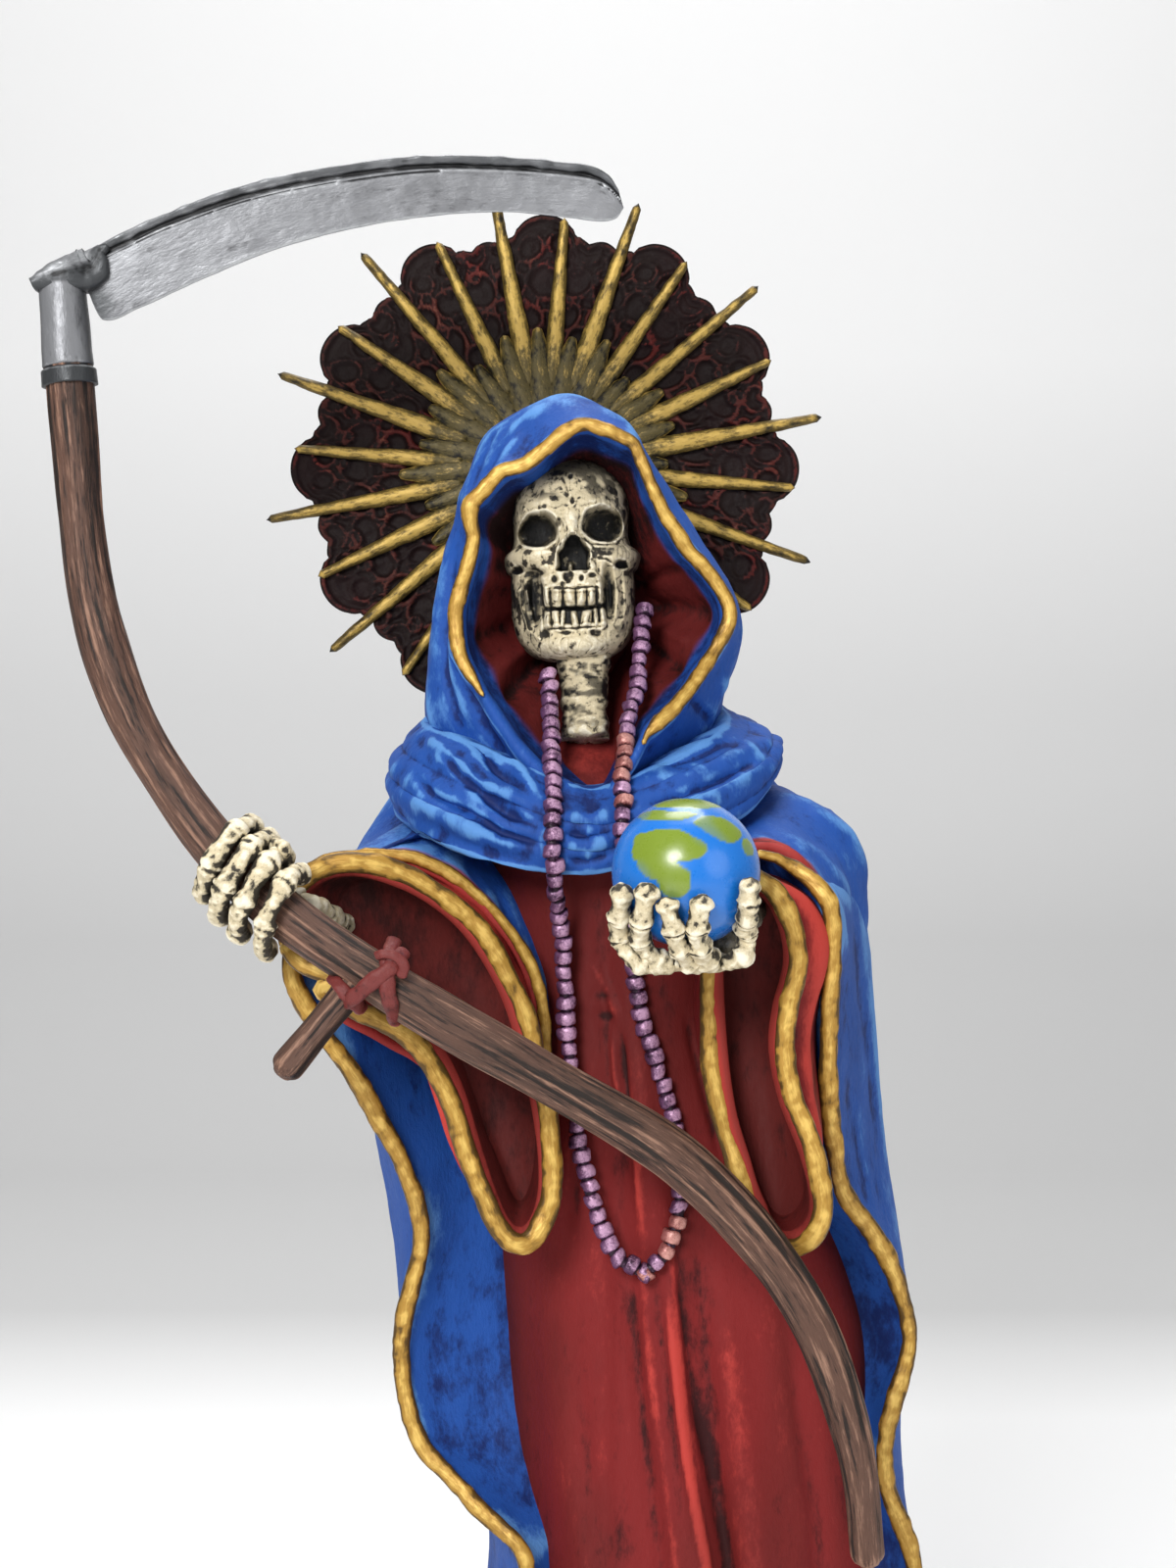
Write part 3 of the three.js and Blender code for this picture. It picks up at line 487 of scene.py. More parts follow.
def paint(name, colours, tints=None, scale=500.0, stretch=(1, 1, 1), mottle=0.5, wash=1.0, worn=1.0,
          rough=0.5, bump_mm=0.12, metallic=0.0, coat=0.0, gloss=0.35):
    """A material of paint with dark paint in hollows, painted shade and painted highlights. colours and
    tints are a base, a shade and a light, as screen colours.
    """
    material = bpy.data.materials.new(name)
    material.use_nodes = True
    n = Nodes(material.node_tree)
    shader = material.node_tree.nodes["Principled BSDF"]
    shader.inputs["Metallic"].default_value = metallic
    shader.inputs["Coat Weight"].default_value = coat
    shader.inputs["Coat Roughness"].default_value = 0.15
    shader.inputs["Specular IOR Level"].default_value = gloss
    made = n.add("ShaderNodeGroup", node_tree=PAINT, inputs={
        **{socket: rgb(*colour) for socket, colour in zip(PAINT_COLOURS, [*colours, *(tints or colours)])},
        "Scale": scale, "Stretch": stretch, "Mottle": mottle, "Wash And Shade": wash, "Wear And Highlight": worn, "Rough": rough})
    lift = n.add("ShaderNodeBump", inputs={
        "Strength": 1.0, "Distance": bump_mm * MM, "Height": made.outputs["Height"]})
    link = material.node_tree.links.new
    link(made.outputs["Color"], shader.inputs["Base Color"])
    link(made.outputs["Roughness"], shader.inputs["Roughness"])
    link(lift.outputs["Normal"], shader.inputs["Normal"])
    return material


blue = paint(
    "blue_cloth",
    [(32, 80, 162), (15, 35, 92), (92, 146, 208)], [(98, 29, 27), (24, 10, 11), (166, 54, 50)],
    scale=420, stretch=(1, 1, 0.5), mottle=0.32, wash=0.6, rough=0.65, bump_mm=0.3, gloss=0.25)
# The red's tint, a darker red, paints the gown's streaks and upper part, and painted shade on the gown's
# sides and in the sleeves' hollows.
red = paint(
    "red_cloth",
    [(124, 33, 33), (46, 16, 18), (190, 64, 56)], [(88, 27, 24), (44, 15, 14), (118, 40, 35)],
    scale=330, stretch=(1, 1, 0.45), mottle=0.34, wash=0.72, rough=0.7, bump_mm=0.25, gloss=0.2)
gold = paint(
    "gold_trim",
    [(176, 134, 56), (84, 61, 26), (232, 194, 104)],
    scale=640, stretch=(1, 1, 0.22), mottle=0.45, rough=0.42, metallic=0.25, bump_mm=0.3)
# The bone's tint, near black, paints the sockets, holes and speckle, and painted shade on the skull's crown
# and sides, the neck, the palm and the wrists.
bone = paint(
    "bone",
    [(212, 197, 162), (30, 26, 23), (250, 241, 216)], [(17, 16, 15), (6, 6, 6), (86, 80, 72)],
    scale=900, mottle=0.44, wash=1.1, rough=0.6, bump_mm=0.35)
mauve = paint(
    "bead_paint",
    [(108, 70, 104), (30, 13, 27), (212, 168, 200)], [(166, 96, 80), (60, 26, 20), (222, 160, 130)],
    scale=900, mottle=0.6, wash=1.1, rough=0.32, bump_mm=0.2, metallic=0.2)
wood = paint(
    "wood_paint",
    [(92, 65, 53), (30, 22, 18), (154, 118, 98)],
    scale=900, stretch=(1, 1, 0.08), mottle=0.85, wash=1.1, rough=0.6, bump_mm=0.5)
cord_red = paint("lashing_paint", [(112, 46, 43), (38, 16, 15), (150, 76, 66)], scale=900, bump_mm=0.25)
# The steel's tint, a darker grey, paints the blade's spine and heel and the ferrule's foot ring, and
# painted shade on the ferrule's sides and top and on the wedge's lower part.
steel = paint(
    "blade_paint",
    [(130, 131, 134), (32, 32, 34), (180, 182, 184)], [(62, 64, 66), (12, 12, 13), (140, 142, 144)],
    scale=520, stretch=(1, 1, 0.35), mottle=0.3, rough=0.42, metallic=0.35, bump_mm=0.2)
lace = paint(
    "lace_paint",
    [(68, 31, 26), (20, 11, 10), (112, 64, 50)], [(84, 27, 24), (20, 9, 9), (128, 60, 48)],
    scale=600, wash=1.3, worn=0.8, rough=0.6, bump_mm=0.25, gloss=0.15)
ray_gold = paint(
    "ray_paint",
    [(104, 85, 38), (24, 20, 12), (198, 164, 82)], [(84, 73, 38), (16, 14, 10), (196, 162, 84)],
    scale=700, stretch=(1, 1, 0.4), mottle=0.7, wash=1.15, rough=0.45, metallic=0.25, bump_mm=0.3)
globe_paint = paint(
    "globe_paint",
    [(24, 116, 208), (14, 84, 176), (84, 172, 240)], [(124, 146, 44), (92, 116, 32), (188, 194, 112)],
    scale=160, mottle=0.15, rough=0.3, bump_mm=0.05, coat=0.35, gloss=0.5)
base_paint = paint(
    "base_paint", [(62, 44, 36), (20, 14, 12), (112, 82, 62)], scale=350, mottle=0.6, rough=0.55)

# Gown: an ellipse at each height (centre x and y, half width, half depth), raised and sunk by folds.
gown_shape = table([
    [15, 2, 2, 48, 39], [50, 2, 1, 41, 34], [90, 1.5, 0, 38, 30], [125, 0, 0, 37, 28], [150, -4, 0, 35, 26],
    [180, -9, 0, 30, 25], [210, -14, 0, 27, 24], [230, -18, 0, 26, 23], [240, -20, 2, 22, 19],
    [247, -20, 4, 17, 12], [252, -20, 6, 9, 6],
])
# Folds of the gown's front: x at the fold's top and foot, top height, foot height, width and rise.
gown_folds = [
    [-21, -20, 150, 15, 10, 2.6], [-9, -9, 145, 15, 4, -3.2], [-4, 8, 155, 15, 3.4, 3.6],
    [0, 14, 145, 15, 3.4, -3.6], [19, 24, 150, 15, 9, 3.4], [-30, -32, 140, 15, 4, -3],
    [-13, -8, 216, 160, 2.8, 1.8], [-18, -14, 216, 165, 2.4, -1.8],
]
# Creases of the gown, drawn on its front: broken lines of x and z, width and rise.
gown_strokes = [
    ([(-13.6, 188), (-12.8, 178.2), (-12, 170)], 0.6, -1.0),
    ([(-21.9, 174.4), (-22.3, 161.2), (-22.8, 150)], 1.0, -0.9),
    ([(-1, 191.5), (1.8, 180.1), (5.6, 165)], 0.9, -0.7), ([(-20.5, 196.4), (-14.2, 195.7)], 0.6, -0.6),
    ([(-19.8, 192.4), (-14.0, 191.3)], 0.6, -0.6), ([(-20.3, 199.3), (-15, 198.4)], 0.6, -0.5),
    ([(-15.3, 192), (-14.7, 180.1), (-10.5, 165), (-9.6, 150)], 0.9, 0.9),
    ([(-19.1, 201), (-16.2, 197.2), (-13.9, 190)], 0.9, 0.8), ([(-27.6, 168), (-28.3, 150)], 0.9, 0.7),
    ([(-28.4, 150), (-27.4, 125.2), (-24.7, 106.6), (-20, 88), (-17, 40)], 4.0, 1.0),
    ([(-9.8, 150), (-7.9, 125.2), (-5.1, 106.6), (-2.9, 88), (-1, 50)], 1.6, 1.0),
    ([(-5.1, 140), (-2.9, 121.5), (-1, 106.6), (2.4, 88), (6, 40)], 0.9, 1.3),
    ([(5.1, 140), (7.9, 119.7), (10.7, 102.9), (12.6, 88), (16, 40)], 4.0, 1.4),
    ([(-12.6, 146), (-10.7, 125.2), (-8.8, 106.6), (-6.6, 88), (-4, 45)], 1.5, -0.9),
    ([(-3.2, 158), (-1.4, 136.4), (0.9, 117.8), (4.2, 102.9), (7, 88), (11, 40)], 1.3, -1.2),
    ([(-21.9, 124), (-20, 102.9), (-17.8, 88), (-14, 45)], 2.0, -0.7),
    ([(18, 140), (21.9, 112.2), (24.7, 95.4), (27, 50)], 2.6, -1.5),
]


def fold_rise(folds, x, z):
    """The sum of folds: each is a bell curve across a straight line, faded in below its top."""
    total = np.zeros(np.broadcast(x, z).shape)
    for x_top, x_foot, top, foot, width, rise in folds:
        down = np.clip((top - z) / (top - foot), 0, 1)
        total += rise * (1 - smooth(z, top - 15, top + 12)) * bump(x - mix(x_top, x_foot, down), width)
    return total


def gown():
    """The gown's ellipses from hem to neck, with more columns in front, where the folds draw it out and
    in."""
    degrees = np.r_[np.linspace(-105, 105, 236), np.linspace(115, 245, 20)]
    angle, z = np.meshgrid(np.radians(degrees), np.linspace(TABLE_FOOT, 251, 180))
    cx, cy, a, b = gown_shape(z)
    x = cx + a * np.sin(angle)
    front = np.clip(np.cos(angle), 0, 1) ** 0.5
    points = place(x, cy - b * np.cos(angle) - 0.6 * fold_rise(gown_folds, x, z) * front, z)
    s = creased(surface(points), gown_strokes)
    s = relieved(s, 0.22 * rough_noise(points, 7, 3, 5) * (0.5 + smooth(z, 150, 200)))
    dark = smooth(noise(points * [1, 1, 0.3], 9, 11), -0.1, 0.8) * 0.4 * smooth(z, 190, 140)
    # Painted shade: the tint darkens the gown's sides, where they turn in under the cloak. It also darkens
    # the upper gown and, lower down, streaks.
    side = smooth(np.abs(np.degrees(np.where(angle > np.pi, angle - TAU, angle))), 35, 75)
    s["tint"] = np.clip(dark + 0.6 * smooth(z, 150, 185) + 0.6 * side, 0, 1)
    return hollows(s, 5, 0.7, 31, 2.8)


# Cloak: the outer ellipse at each height, and its two front edges as x and y.
cloak_shape = table([
    [15, 2, 3, 54, 46], [25, 2, 3, 52, 44], [55, 2, 3, 47, 40], [86, 1.5, 3, 44.7, 36],
    [110, -4, 3, 50, 34], [137, -7.5, 2, 53.5, 33], [167, -11.8, 1, 54, 32], [190, -14, -2, 54, 33],
    [216, -17.5, -4, 54, 34], [224, -19, -3, 50, 32.5], [232, -20, -2, 43, 31], [250, -20, 1, 30, 27],
])
left_edge = table([
    [15, -36, -33], [50, -33, -29], [87, -32.2, -26], [97, -42, -22], [107, -52.5, -18], [125, -57, -16],
    [152, -52.7, -21], [176, -62, -29], [198, -74.6, -37], [212, -74.6, -35], [221, -66, -31],
    [232, -44, -18], [250, -36, -12],
])
right_edge = table([
    [15, 43, -30], [60, 44, -22], [84, 43.9, -17], [104, 37.9, -20], [127, 43.3, -15], [144, 38.5, -20],
    [160, 28.5, -29], [189, 25.1, -38], [214, 24.8, -43], [223, 16, -38], [232, 3, -19], [250, -4, -12],
])
# Degrees round the gown at which the cloak's front wall leaves it, on each side.
wall_root = table([
    [15, 40, 46], [87, 45, 58], [107, 62, 62], [125, 72, 66], [152, 70, 60], [176, 76, 52], [198, 84, 50],
    [221, 80, 52], [232, 66, 55], [250, 50, 50],
])
CLOAK_SPREAD = 80
EDGE_REACH = 0.12
FLUTES = 7
EDGE_STEPS = 330
TRIM_SIDES = 16


def cloak_outer(s, z):
    """The outer face from the left edge (s = 0) round the back to the right edge (s = 1): the ellipse with
    flutes, drawn out at both ends to meet the edge lines."""
    cx, cy, a, b = cloak_shape(z)

    def on_ellipse(t):
        """x and y of the ellipse at a share of the way round."""
        angle = np.radians(-CLOAK_SPREAD - (360 - 2 * CLOAK_SPREAD) * t)
        return cx + a * np.sin(angle), cy - b * np.cos(angle)

    depth = 0.028 * smooth(200 - z, 0, 150) * smooth(np.minimum(s, 1 - s), 0.05, 0.2)
    flute = 1 - depth * (1 - np.cos(TAU * FLUTES * s))
    x, y = on_ellipse(s)
    x, y = cx + (x - cx) * flute, cy + (y - cy) * flute
    for edge, start, far in ((left_edge(z), on_ellipse(0.0), s), (right_edge(z), on_ellipse(1.0), 1 - s)):
        pull = (1 - smooth(far, 0, EDGE_REACH)) ** 1.2
        x, y = x + (edge[0] - start[0]) * pull, y + (edge[1] - start[1]) * pull
    return place(x, y, z)


def cloak_wall(s, z, side):
    """The face that looks forward, from inside the gown (s = 0) to the edge line (s = 1), hollowed as half
    a sine. side is -1 for the figure's right and 1 for its left."""
    cx, cy, a, b = gown_shape(z)
    angle = side * np.radians(wall_root(z)[0 if side < 0 else 1])
    x0, y0 = cx + 0.86 * a * np.sin(angle), cy - 0.8 * b * np.cos(angle)
    x1, y1 = left_edge(z) if side < 0 else right_edge(z)
    return place(mix(x0, x1, s), mix(y0, y1, s) + 3 * np.sin(np.pi * s), z)


# Creases of the cloak and of its drapes, drawn the same way.
cloak_strokes = [
    ([(-63.6, 167.2), (-60.7, 151.8), (-58.8, 134.3)], 0.6, -0.7),
    ([(-65, 173.1), (-62.6, 159.5)], 0.8, 0.5),
    ([(32.3, 217.6), (34.2, 198.2), (37.2, 178.9), (39.1, 159.5)], 1.0, -1),
    ([(35.2, 217.6), (36.8, 198.2), (39.1, 178.9), (42, 155)], 1.2, 0.8),
    ([(30.8, 178.9), (33.3, 163.4), (36.2, 151.8)], 0.6, -0.7),
    ([(16.8, 227.3), (24.6, 223.4), (32.3, 213.8)], 1.4, 0.8),
    ([(11, 229.2), (18.8, 225.4), (28.4, 211.8)], 0.8, -0.8),
    ([(-47.1, 222.1), (-40.5, 212.7), (-34.9, 201.5), (-32.1, 190.3)], 1.3, 1),
    ([(-44.3, 218.3), (-37.7, 207.1), (-33.4, 194.1)], 0.7, -0.9),
    ([(-38.7, 218.3), (-33.1, 207.1), (-30.3, 194.1)], 0.7, -0.7),
    ([(-57.3, 223.9), (-49.9, 223)], 0.9, 0.6), ([(13, 236), (24, 232.5), (32, 226), (37, 216)], 1.5, 1.5),
    ([(12, 232.5), (21, 229.5), (29, 223), (34, 212)], 0.9, -0.4),
    ([(20, 237), (30, 232.5), (37, 223)], 0.9, -1.4),
    ([(14, 226), (22, 221), (28, 212), (31, 200)], 1.4, 1.2),
    ([(39, 214), (42, 198), (44, 180)], 1.0, -1.1),
]


def cloak():
    """One loop of points at each height: out along one front wall, round the outside and back along the
    other wall, with streaks of noise drawn out along the height."""
    z = np.linspace(TABLE_FOOT, 246, 164)[:, None]
    wall = np.linspace(0, 1, 25)[None]
    outer = np.linspace(1, 0, 178)[None, 1:-1]
    walls = cloak_wall(wall, z, 1), cloak_wall(wall[:, ::-1], z, -1)
    grid = np.concatenate([walls[0], cloak_outer(outer, z), walls[1]], 1)
    s = creased(surface(grid), cloak_strokes)
    streaks = 0.25 * noise(grid * [1, 1, 0.09], 4.5, 21) + 0.7 * noise(grid * [1, 1, 0.12], 14, 23)
    s = relieved(s, streaks + 0.35 * rough_noise(grid, 8, 4, 25))
    # Painted shade: the front walls darken towards where they leave the gown.
    deep = smooth(wall, 0.6, 0.0)
    s["wash"] = 0.12 * np.concatenate([deep, 0 * outer, deep[:, ::-1]], 1)
    return hollows(s, 5, 0.5, 31, 2.4)


def trim(line, half_width=2.0, seed=0, reference=(0, -1, 0), out=1.15):
    """A gold border: a low rounded bar along a wandering line, its edges darkened by dark paint and painted
    shade where it meets the cloth, and its front crest paled by rubbed paint and painted highlight.
    """
    _, _, across = frames(line, reference)
    line = line + across * (0.35 * noise(line, 8, seed))[:, None]
    wide = np.reshape(half_width, (-1, 1)) * (1 + 0.16 * noise(line, 9, seed + 1)[:, None])
    s = slab(line, out * wide / np.mean(half_width), wide, reference, TRIM_SIDES, 2.5)
    s = relieved(s, 0.35 * rough_noise(s["grid"], 2.6, 3, seed + 2))
    s["wash"] = 0.7 * smooth(np.abs(np.sin(circle(TRIM_SIDES))), 0.66, 0.97)
    s["worn"] = 0.5 * smooth(np.cos(circle(TRIM_SIDES)), 0.6, 1)
    return hollows(s, 3, 0.3, axis=0)


def edge_trim(edge, high, seed, lead=()):
    """The border up one front edge of the cloak, fading into the cloth at its top. It runs on past the
    edge's top through the points of lead, which are steps from there."""
    z = np.linspace(TABLE_FOOT, high, EDGE_STEPS)
    line = place(*edge(z), z)
    line = even(np.concatenate([line, line[-1] + share * np.reshape(lead, (-1, 3))]), EDGE_STEPS)
    fade = 1 - 0.55 * smooth(np.linspace(0, 1, EDGE_STEPS), 0.93, 1)
    return trim(line + [0, -0.6, 0], 1.75 * fade, seed)


# Bells of cloth: rim and root lines, half widths along them, how far the right side leans forward, the
# depth of the hollow as a share of the bell's, the thickness of the cloth, and how far the cloth swells out
# behind the rim on its right and left, by share of the way from its top.
bells = {
    "right_sleeve": {
        "rim": [[-75, -44, 208], [-67.3, -43, 210.6], [-60.2, -41, 208], [-51.2, -39, 202.5],
                [-43.7, -38, 194.5], [-38.6, -37.5, 183.5], [-35.2, -37.5, 170.6], [-33.3, -38, 160.5],
                [-32.5, -38, 151]],
        "root": [[-60, -12, 214], [-50, -10, 209], [-42, -9, 200], [-36, -10, 182], [-33, -12, 160]],
        "rim_width": [[0, 17], [0.25, 14], [0.375, 12], [0.5, 9.6], [0.65, 8.3], [1, 9]],
        "root_width": [[0, 13], [0.5, 11], [1, 8]], "lean": -0.3, "depth": 0.32, "wall": 2.2,
        "right": [[0, 0], [0.15, 1.2], [0.35, 2.2], [0.5, 1.6], [0.8, 0], [1, 0]],
        "left": [[0, 0], [0.3, 1], [0.5, 3.4], [0.8, 4.4], [1, 2]],
    },
    "left_sleeve": {
        "rim": [[8, -50, 219], [9.7, -47.5, 213], [10.5, -46.5, 206], [9.6, -46, 197], [9.5, -45.5, 188],
                [11.3, -46, 177], [14.8, -47, 166.5], [16.6, -47, 158.5], [16, -47, 152]],
        "root": [[14, -15, 220], [13, -12, 208], [12, -12, 194], [14, -12, 176], [17, -14, 158]],
        "rim_width": [[0, 8.5], [0.25, 8.2], [0.375, 6.6], [0.5, 5.8], [0.65, 6.4], [1, 9.5]],
        "root_width": [[0, 12], [0.5, 11], [1, 9]], "lean": 0.6, "depth": 0.24, "wall": 2.2,
        "right": [[0, 5], [0.12, 7.2], [0.3, 6.4], [0.5, 5.2], [0.7, 3.2], [0.85, 2], [1, 0.5]],
        "left": [[0, 0], [0.5, 1.5], [1, 0.5]],
    },
    "right_drape": {
        "rim": [[-76, -36, 206], [-67.3, -34, 209], [-60, -32, 207], [-51, -30, 201.5], [-43.5, -29, 193.5],
                [-38, -27.5, 182], [-34, -26, 168]],
        "root": [[-58, -2, 222], [-48, -2, 220], [-40, -3, 210], [-33, -5, 196], [-30, -7, 180]],
        "rim_width": [[0, 17], [0.33, 17], [0.5, 16], [0.66, 15], [1, 11]],
        "root_width": [[0, 15], [0.5, 15], [1, 10]], "lean": -0.2, "depth": 0.8, "wall": 1.4,
        "right": [], "left": [],
    },
    "left_drape": {
        "rim": [[12, -36, 225], [13, -35, 210], [14, -33, 194], [16, -31, 178]],
        "root": [[14, 0, 236], [18, -2, 222], [20, -2, 204], [22, -2, 184]],
        "rim_width": [[0, 14], [0.5, 12], [1, 9]],
        "root_width": [[0, 16], [0.5, 17], [1, 16]], "lean": 0.1, "depth": 0.8, "wall": 1.4,
        "right": [], "left": [],
    },
}
BELL_COLUMNS = 176


def bent_ellipse(axis, width, lean, angle, offset):
    """An ellipse whose long axis follows a curve, widened by offset, with its right side turned forward by
    lean."""
    t = (1 - np.cos(angle)) / 2
    along = unit(axis(np.clip(t + 1e-3, 0, 1)) - axis(np.clip(t - 1e-3, 0, 1)))
    across = unit(np.stack([-along[..., 2], 0 * t, along[..., 0]], -1))
    across[..., 1] = -lean
    out = (width(t)[0] * share + offset) * np.sin(angle)
    return axis(t) + across * out[..., None] - along * (offset * np.cos(angle))[..., None]


def bell_rings(bell, steps, columns):
    """Rings of a bell at steps of (share of the way from rim to root, offset). Its cloth swells out
    sideways behind the rim."""
    angle = np.linspace(TAU, 0, columns, endpoint=False)
    front, back = spline(at(bell["rim"])), spline(at(bell["root"]))
    widths = table(bell["rim_width"]), table(bell["root_width"])
    down = (1 - np.cos(angle)) / 2
    swell = np.zeros(columns)
    for side, rows in ((1, bell["right"]), (-1, bell["left"])):
        if rows:
            swell += table(rows)(down)[0] * np.clip(side * np.sin(angle), 0, 1) ** 0.5
    swell = (swell * np.sign(np.sin(angle)))[:, None] * [1, 0.3, 0]
    rings = []
    for d, offset in steps:
        near = bent_ellipse(front, widths[0], bell["lean"], angle, offset)
        far = bent_ellipse(back, widths[1], bell["lean"], angle, offset)
        strength = float(smooth(d, 0.0, 0.14) * smooth(1 - d, 0, 0.6)) * (offset > -0.5)
        rings.append(mix(near, far, d) + strength * swell)
    return np.array(rings)


def bell_surface(name, seed, folds=0.5):
    """The outer face from the root to the rim, then the hollow's face back from the rim to its depth. The
    hollow darkens with depth, painted shade. A sleeve's hollow also takes its paint's darker tint as
    painted shade; a drape's hollow and rim take the tint as their red lining. The outer face grows paler
    towards the rim."""
    bell = bells[name]
    outer = [[d, 0] for d in np.linspace(1, 0.06, 40)] + [[0.04, 0.3], [0.02, 0.5], [0, 0.6], [-0.02, 0.2]]
    inner = [[-0.01, -0.6 * bell["wall"]]]
    inner += [[d, -bell["wall"] * (1 + 0.8 * d)] for d in np.linspace(0.01, bell["depth"], 30)]
    steps = outer + inner
    grid = bell_rings(bell, steps, BELL_COLUMNS)
    back = np.array([d for d, _ in steps])[:, None]
    inside = 1.0 * (np.arange(len(steps)) >= len(outer))[:, None]
    s = creased(surface(grid), cloak_strokes) if "drape" in name else surface(grid)
    fold = folds * noise(grid * [1, 0.12, 0.5], 8, seed) + 0.2 * rough_noise(grid, 5, 3, seed + 2)
    s = relieved(s, fold * smooth(np.abs(back), 0, 0.2))
    # Painted shade: a sleeve's hollow takes the darker tint, more so deeper in, and every hollow darkens
    # with depth.
    s["tint"] = inside * (0.75 + 0.25 * smooth(back, 0.02, 0.3))
    if "drape" in name:
        s["tint"] = np.clip(inside + smooth(0.16 - back, 0, 0.05), 0, 1)
    s["wash"] = inside * 0.1 * smooth(back, 0.1, 0.4)
    s["worn"] = (1 - inside) * 0.4 * smooth(0.3 - back, 0, 0.2)
    return hollows(s, 5, 0.6, 26, 2.4)


def bell_trim(name, start, end, half_width, seed):
    """The border along a bell's rim between two angles, given in turns from its top."""
    bell = bells[name]
    rim, width = spline(at(bell["rim"])), table(bell["rim_width"])
    line = bent_ellipse(rim, width, bell["lean"], TAU * np.linspace(start, end, 260), 0.9)
    return trim(even(line, 240) + [0, -0.4, 0], half_width, seed, (0.05, -1, 0.05))


# Cowl: per direction (degrees from the front, + to the figure's left) the radius and height of the lower
# edge, then of the line where it meets the hood.
COWL_CENTRE = (-20, -3)
cowl_shape = table([
    [-180, 28, 236, 25, 258], [-135, 36, 236, 29, 256], [-90, 39, 233, 33, 250], [-55, 38, 226, 31, 246],
    [-25, 33, 221, 27, 240], [0, 31, 219.5, 25, 236], [25, 33, 223, 26, 239], [55, 38, 231, 29, 246],
    [90, 38.5, 243, 28, 251], [135, 34, 240, 28, 256], [180, 28, 236, 25, 258],
])


def rolled(phase):
    """Cloth folds across a phase: round ridges with sharp valleys between, from 0 to 1."""
    return np.abs(np.sin(np.pi * phase)) ** 0.75


# Ridges and valleys of the cowl: broken lines of x and z, width and rise.
cowl_strokes = [
    ([(-53.1, 247.4), (-47.3, 241.7), (-40.7, 236.1), (-29.8, 232.9)], 1.7, 1.6),
    ([(-56.7, 234.7), (-50.1, 231.3), (-40.7, 227.6), (-30.4, 224.2)], 1.7, 1.5),
    ([(-55.4, 229.8), (-48.2, 225.7), (-38.8, 221.6), (-29.8, 219.5)], 1.5, 1.4),
    ([(-38.8, 248.3), (-33.2, 239.8), (-29.4, 234.2)], 1.1, 1.2),
    ([(-24.7, 230.8), (-20, 229.8), (-15.3, 231)], 1.3, 1),
    ([(-24.7, 225.7), (-20, 224.6), (-15.3, 226.1)], 1.3, 1),
    ([(-9.6, 237), (-1.2, 237.9), (7.3, 241.7), (14.8, 245.1)], 1.7, 1.3),
    ([(-3.1, 232.9), (4.5, 234.7), (12, 238.9), (15.8, 242.7)], 1.5, 1.2),
    ([(-8.7, 243.6), (-1.2, 246.4), (6.4, 247.4)], 1.5, 0.7),
    ([(-42.6, 246.4), (-37.9, 239.8), (-32.8, 236.4)], 0.8, -1.8),
    ([(-48.8, 242.7), (-43, 237), (-37.3, 232.9), (-29.8, 228.5)], 0.9, -1.7),
    ([(-53, 237.6), (-50.1, 234.2), (-42.6, 231), (-36.6, 227.2), (-29.8, 225.3)], 0.8, -1.6),
    ([(-54.8, 228), (-48.2, 224.2), (-40.7, 221.9)], 0.8, -1.2),
    ([(-24.7, 228), (-20, 227), (-15.3, 228.3)], 0.8, -1.2),
    ([(-24.1, 222.5), (-20, 221.9), (-15.9, 223.4)], 0.8, -1.1),
    ([(-9.6, 232.9), (-1.2, 234.7), (6.4, 237.9), (13, 240.8)], 0.8, -1.4),
    ([(-7.2, 240.4), (-0.2, 241.7), (7.3, 244.9)], 0.8, -0.9),
    ([(-10.6, 227.6), (-3.1, 229.8), (5.4, 232.3)], 0.8, -1),
]


def cowl():
    """A soft roll of cloth round the shoulders: in each direction from its lower edge up to the hood,
    sagging out as half a sine, with folds that wind round it. Two inner lines close it behind."""
    around, up = np.linspace(-180, 180, 256, endpoint=False), np.linspace(1, 0, 82)
    degrees, v = np.meshgrid(around, up, indexing="ij")
    foot_radius, foot_height, top_radius, top_height = cowl_shape(degrees)
    angle = np.radians(degrees)
    front = smooth(np.abs(degrees), 100, 60)
    phase = 3.4 * v + 0.35 * np.sin(angle) + 0.12 * noise(place(degrees / 6, v * 8, 0 * v), 6, 31)
    deep = mix(1.6, 0.7, front) * (1 - 0.4 * smooth(np.abs(degrees), 110, 160))
    fold = deep * (rolled(phase) - 0.55) * np.sin(np.pi * np.clip(v * 1.04, 0, 1)) ** 0.5
    sag = 3.2 * np.sin(np.pi * v)
    radius = mix(foot_radius, top_radius, v**1.3) + fold + sag
    height = mix(foot_height, top_height, v)
    outer = place(COWL_CENTRE[0] + radius * np.sin(angle), COWL_CENTRE[1] - radius * np.cos(angle), height)
    inner_foot = mix(outer[:, -1], place(*COWL_CENTRE, 230), 0.75)
    inner_top = mix(outer[:, 0], place(*COWL_CENTRE, 238), 0.7)
    steps = np.linspace(0, 1, 8)[1:-1, None]
    under = mix(outer[:, -1][:, None], inner_foot[:, None], steps)
    over = mix(inner_top[:, None], outer[:, 0][:, None], steps)
    grid = np.concatenate([outer, under, inner_foot[:, None], inner_top[:, None], over], 1)
    closed = np.concatenate([grid, grid[:1]])
    s = creased(surface(closed, caps=(False, False)), cowl_strokes)
    s = relieved(s, 0.5 * rough_noise(closed, 7, 4, 33) + 0.3 * noise(closed, 3.2, 35))
    s["grid"][-1] = s["grid"][0]
    return hollows(s, 4, 0.26, 21, 0.85)


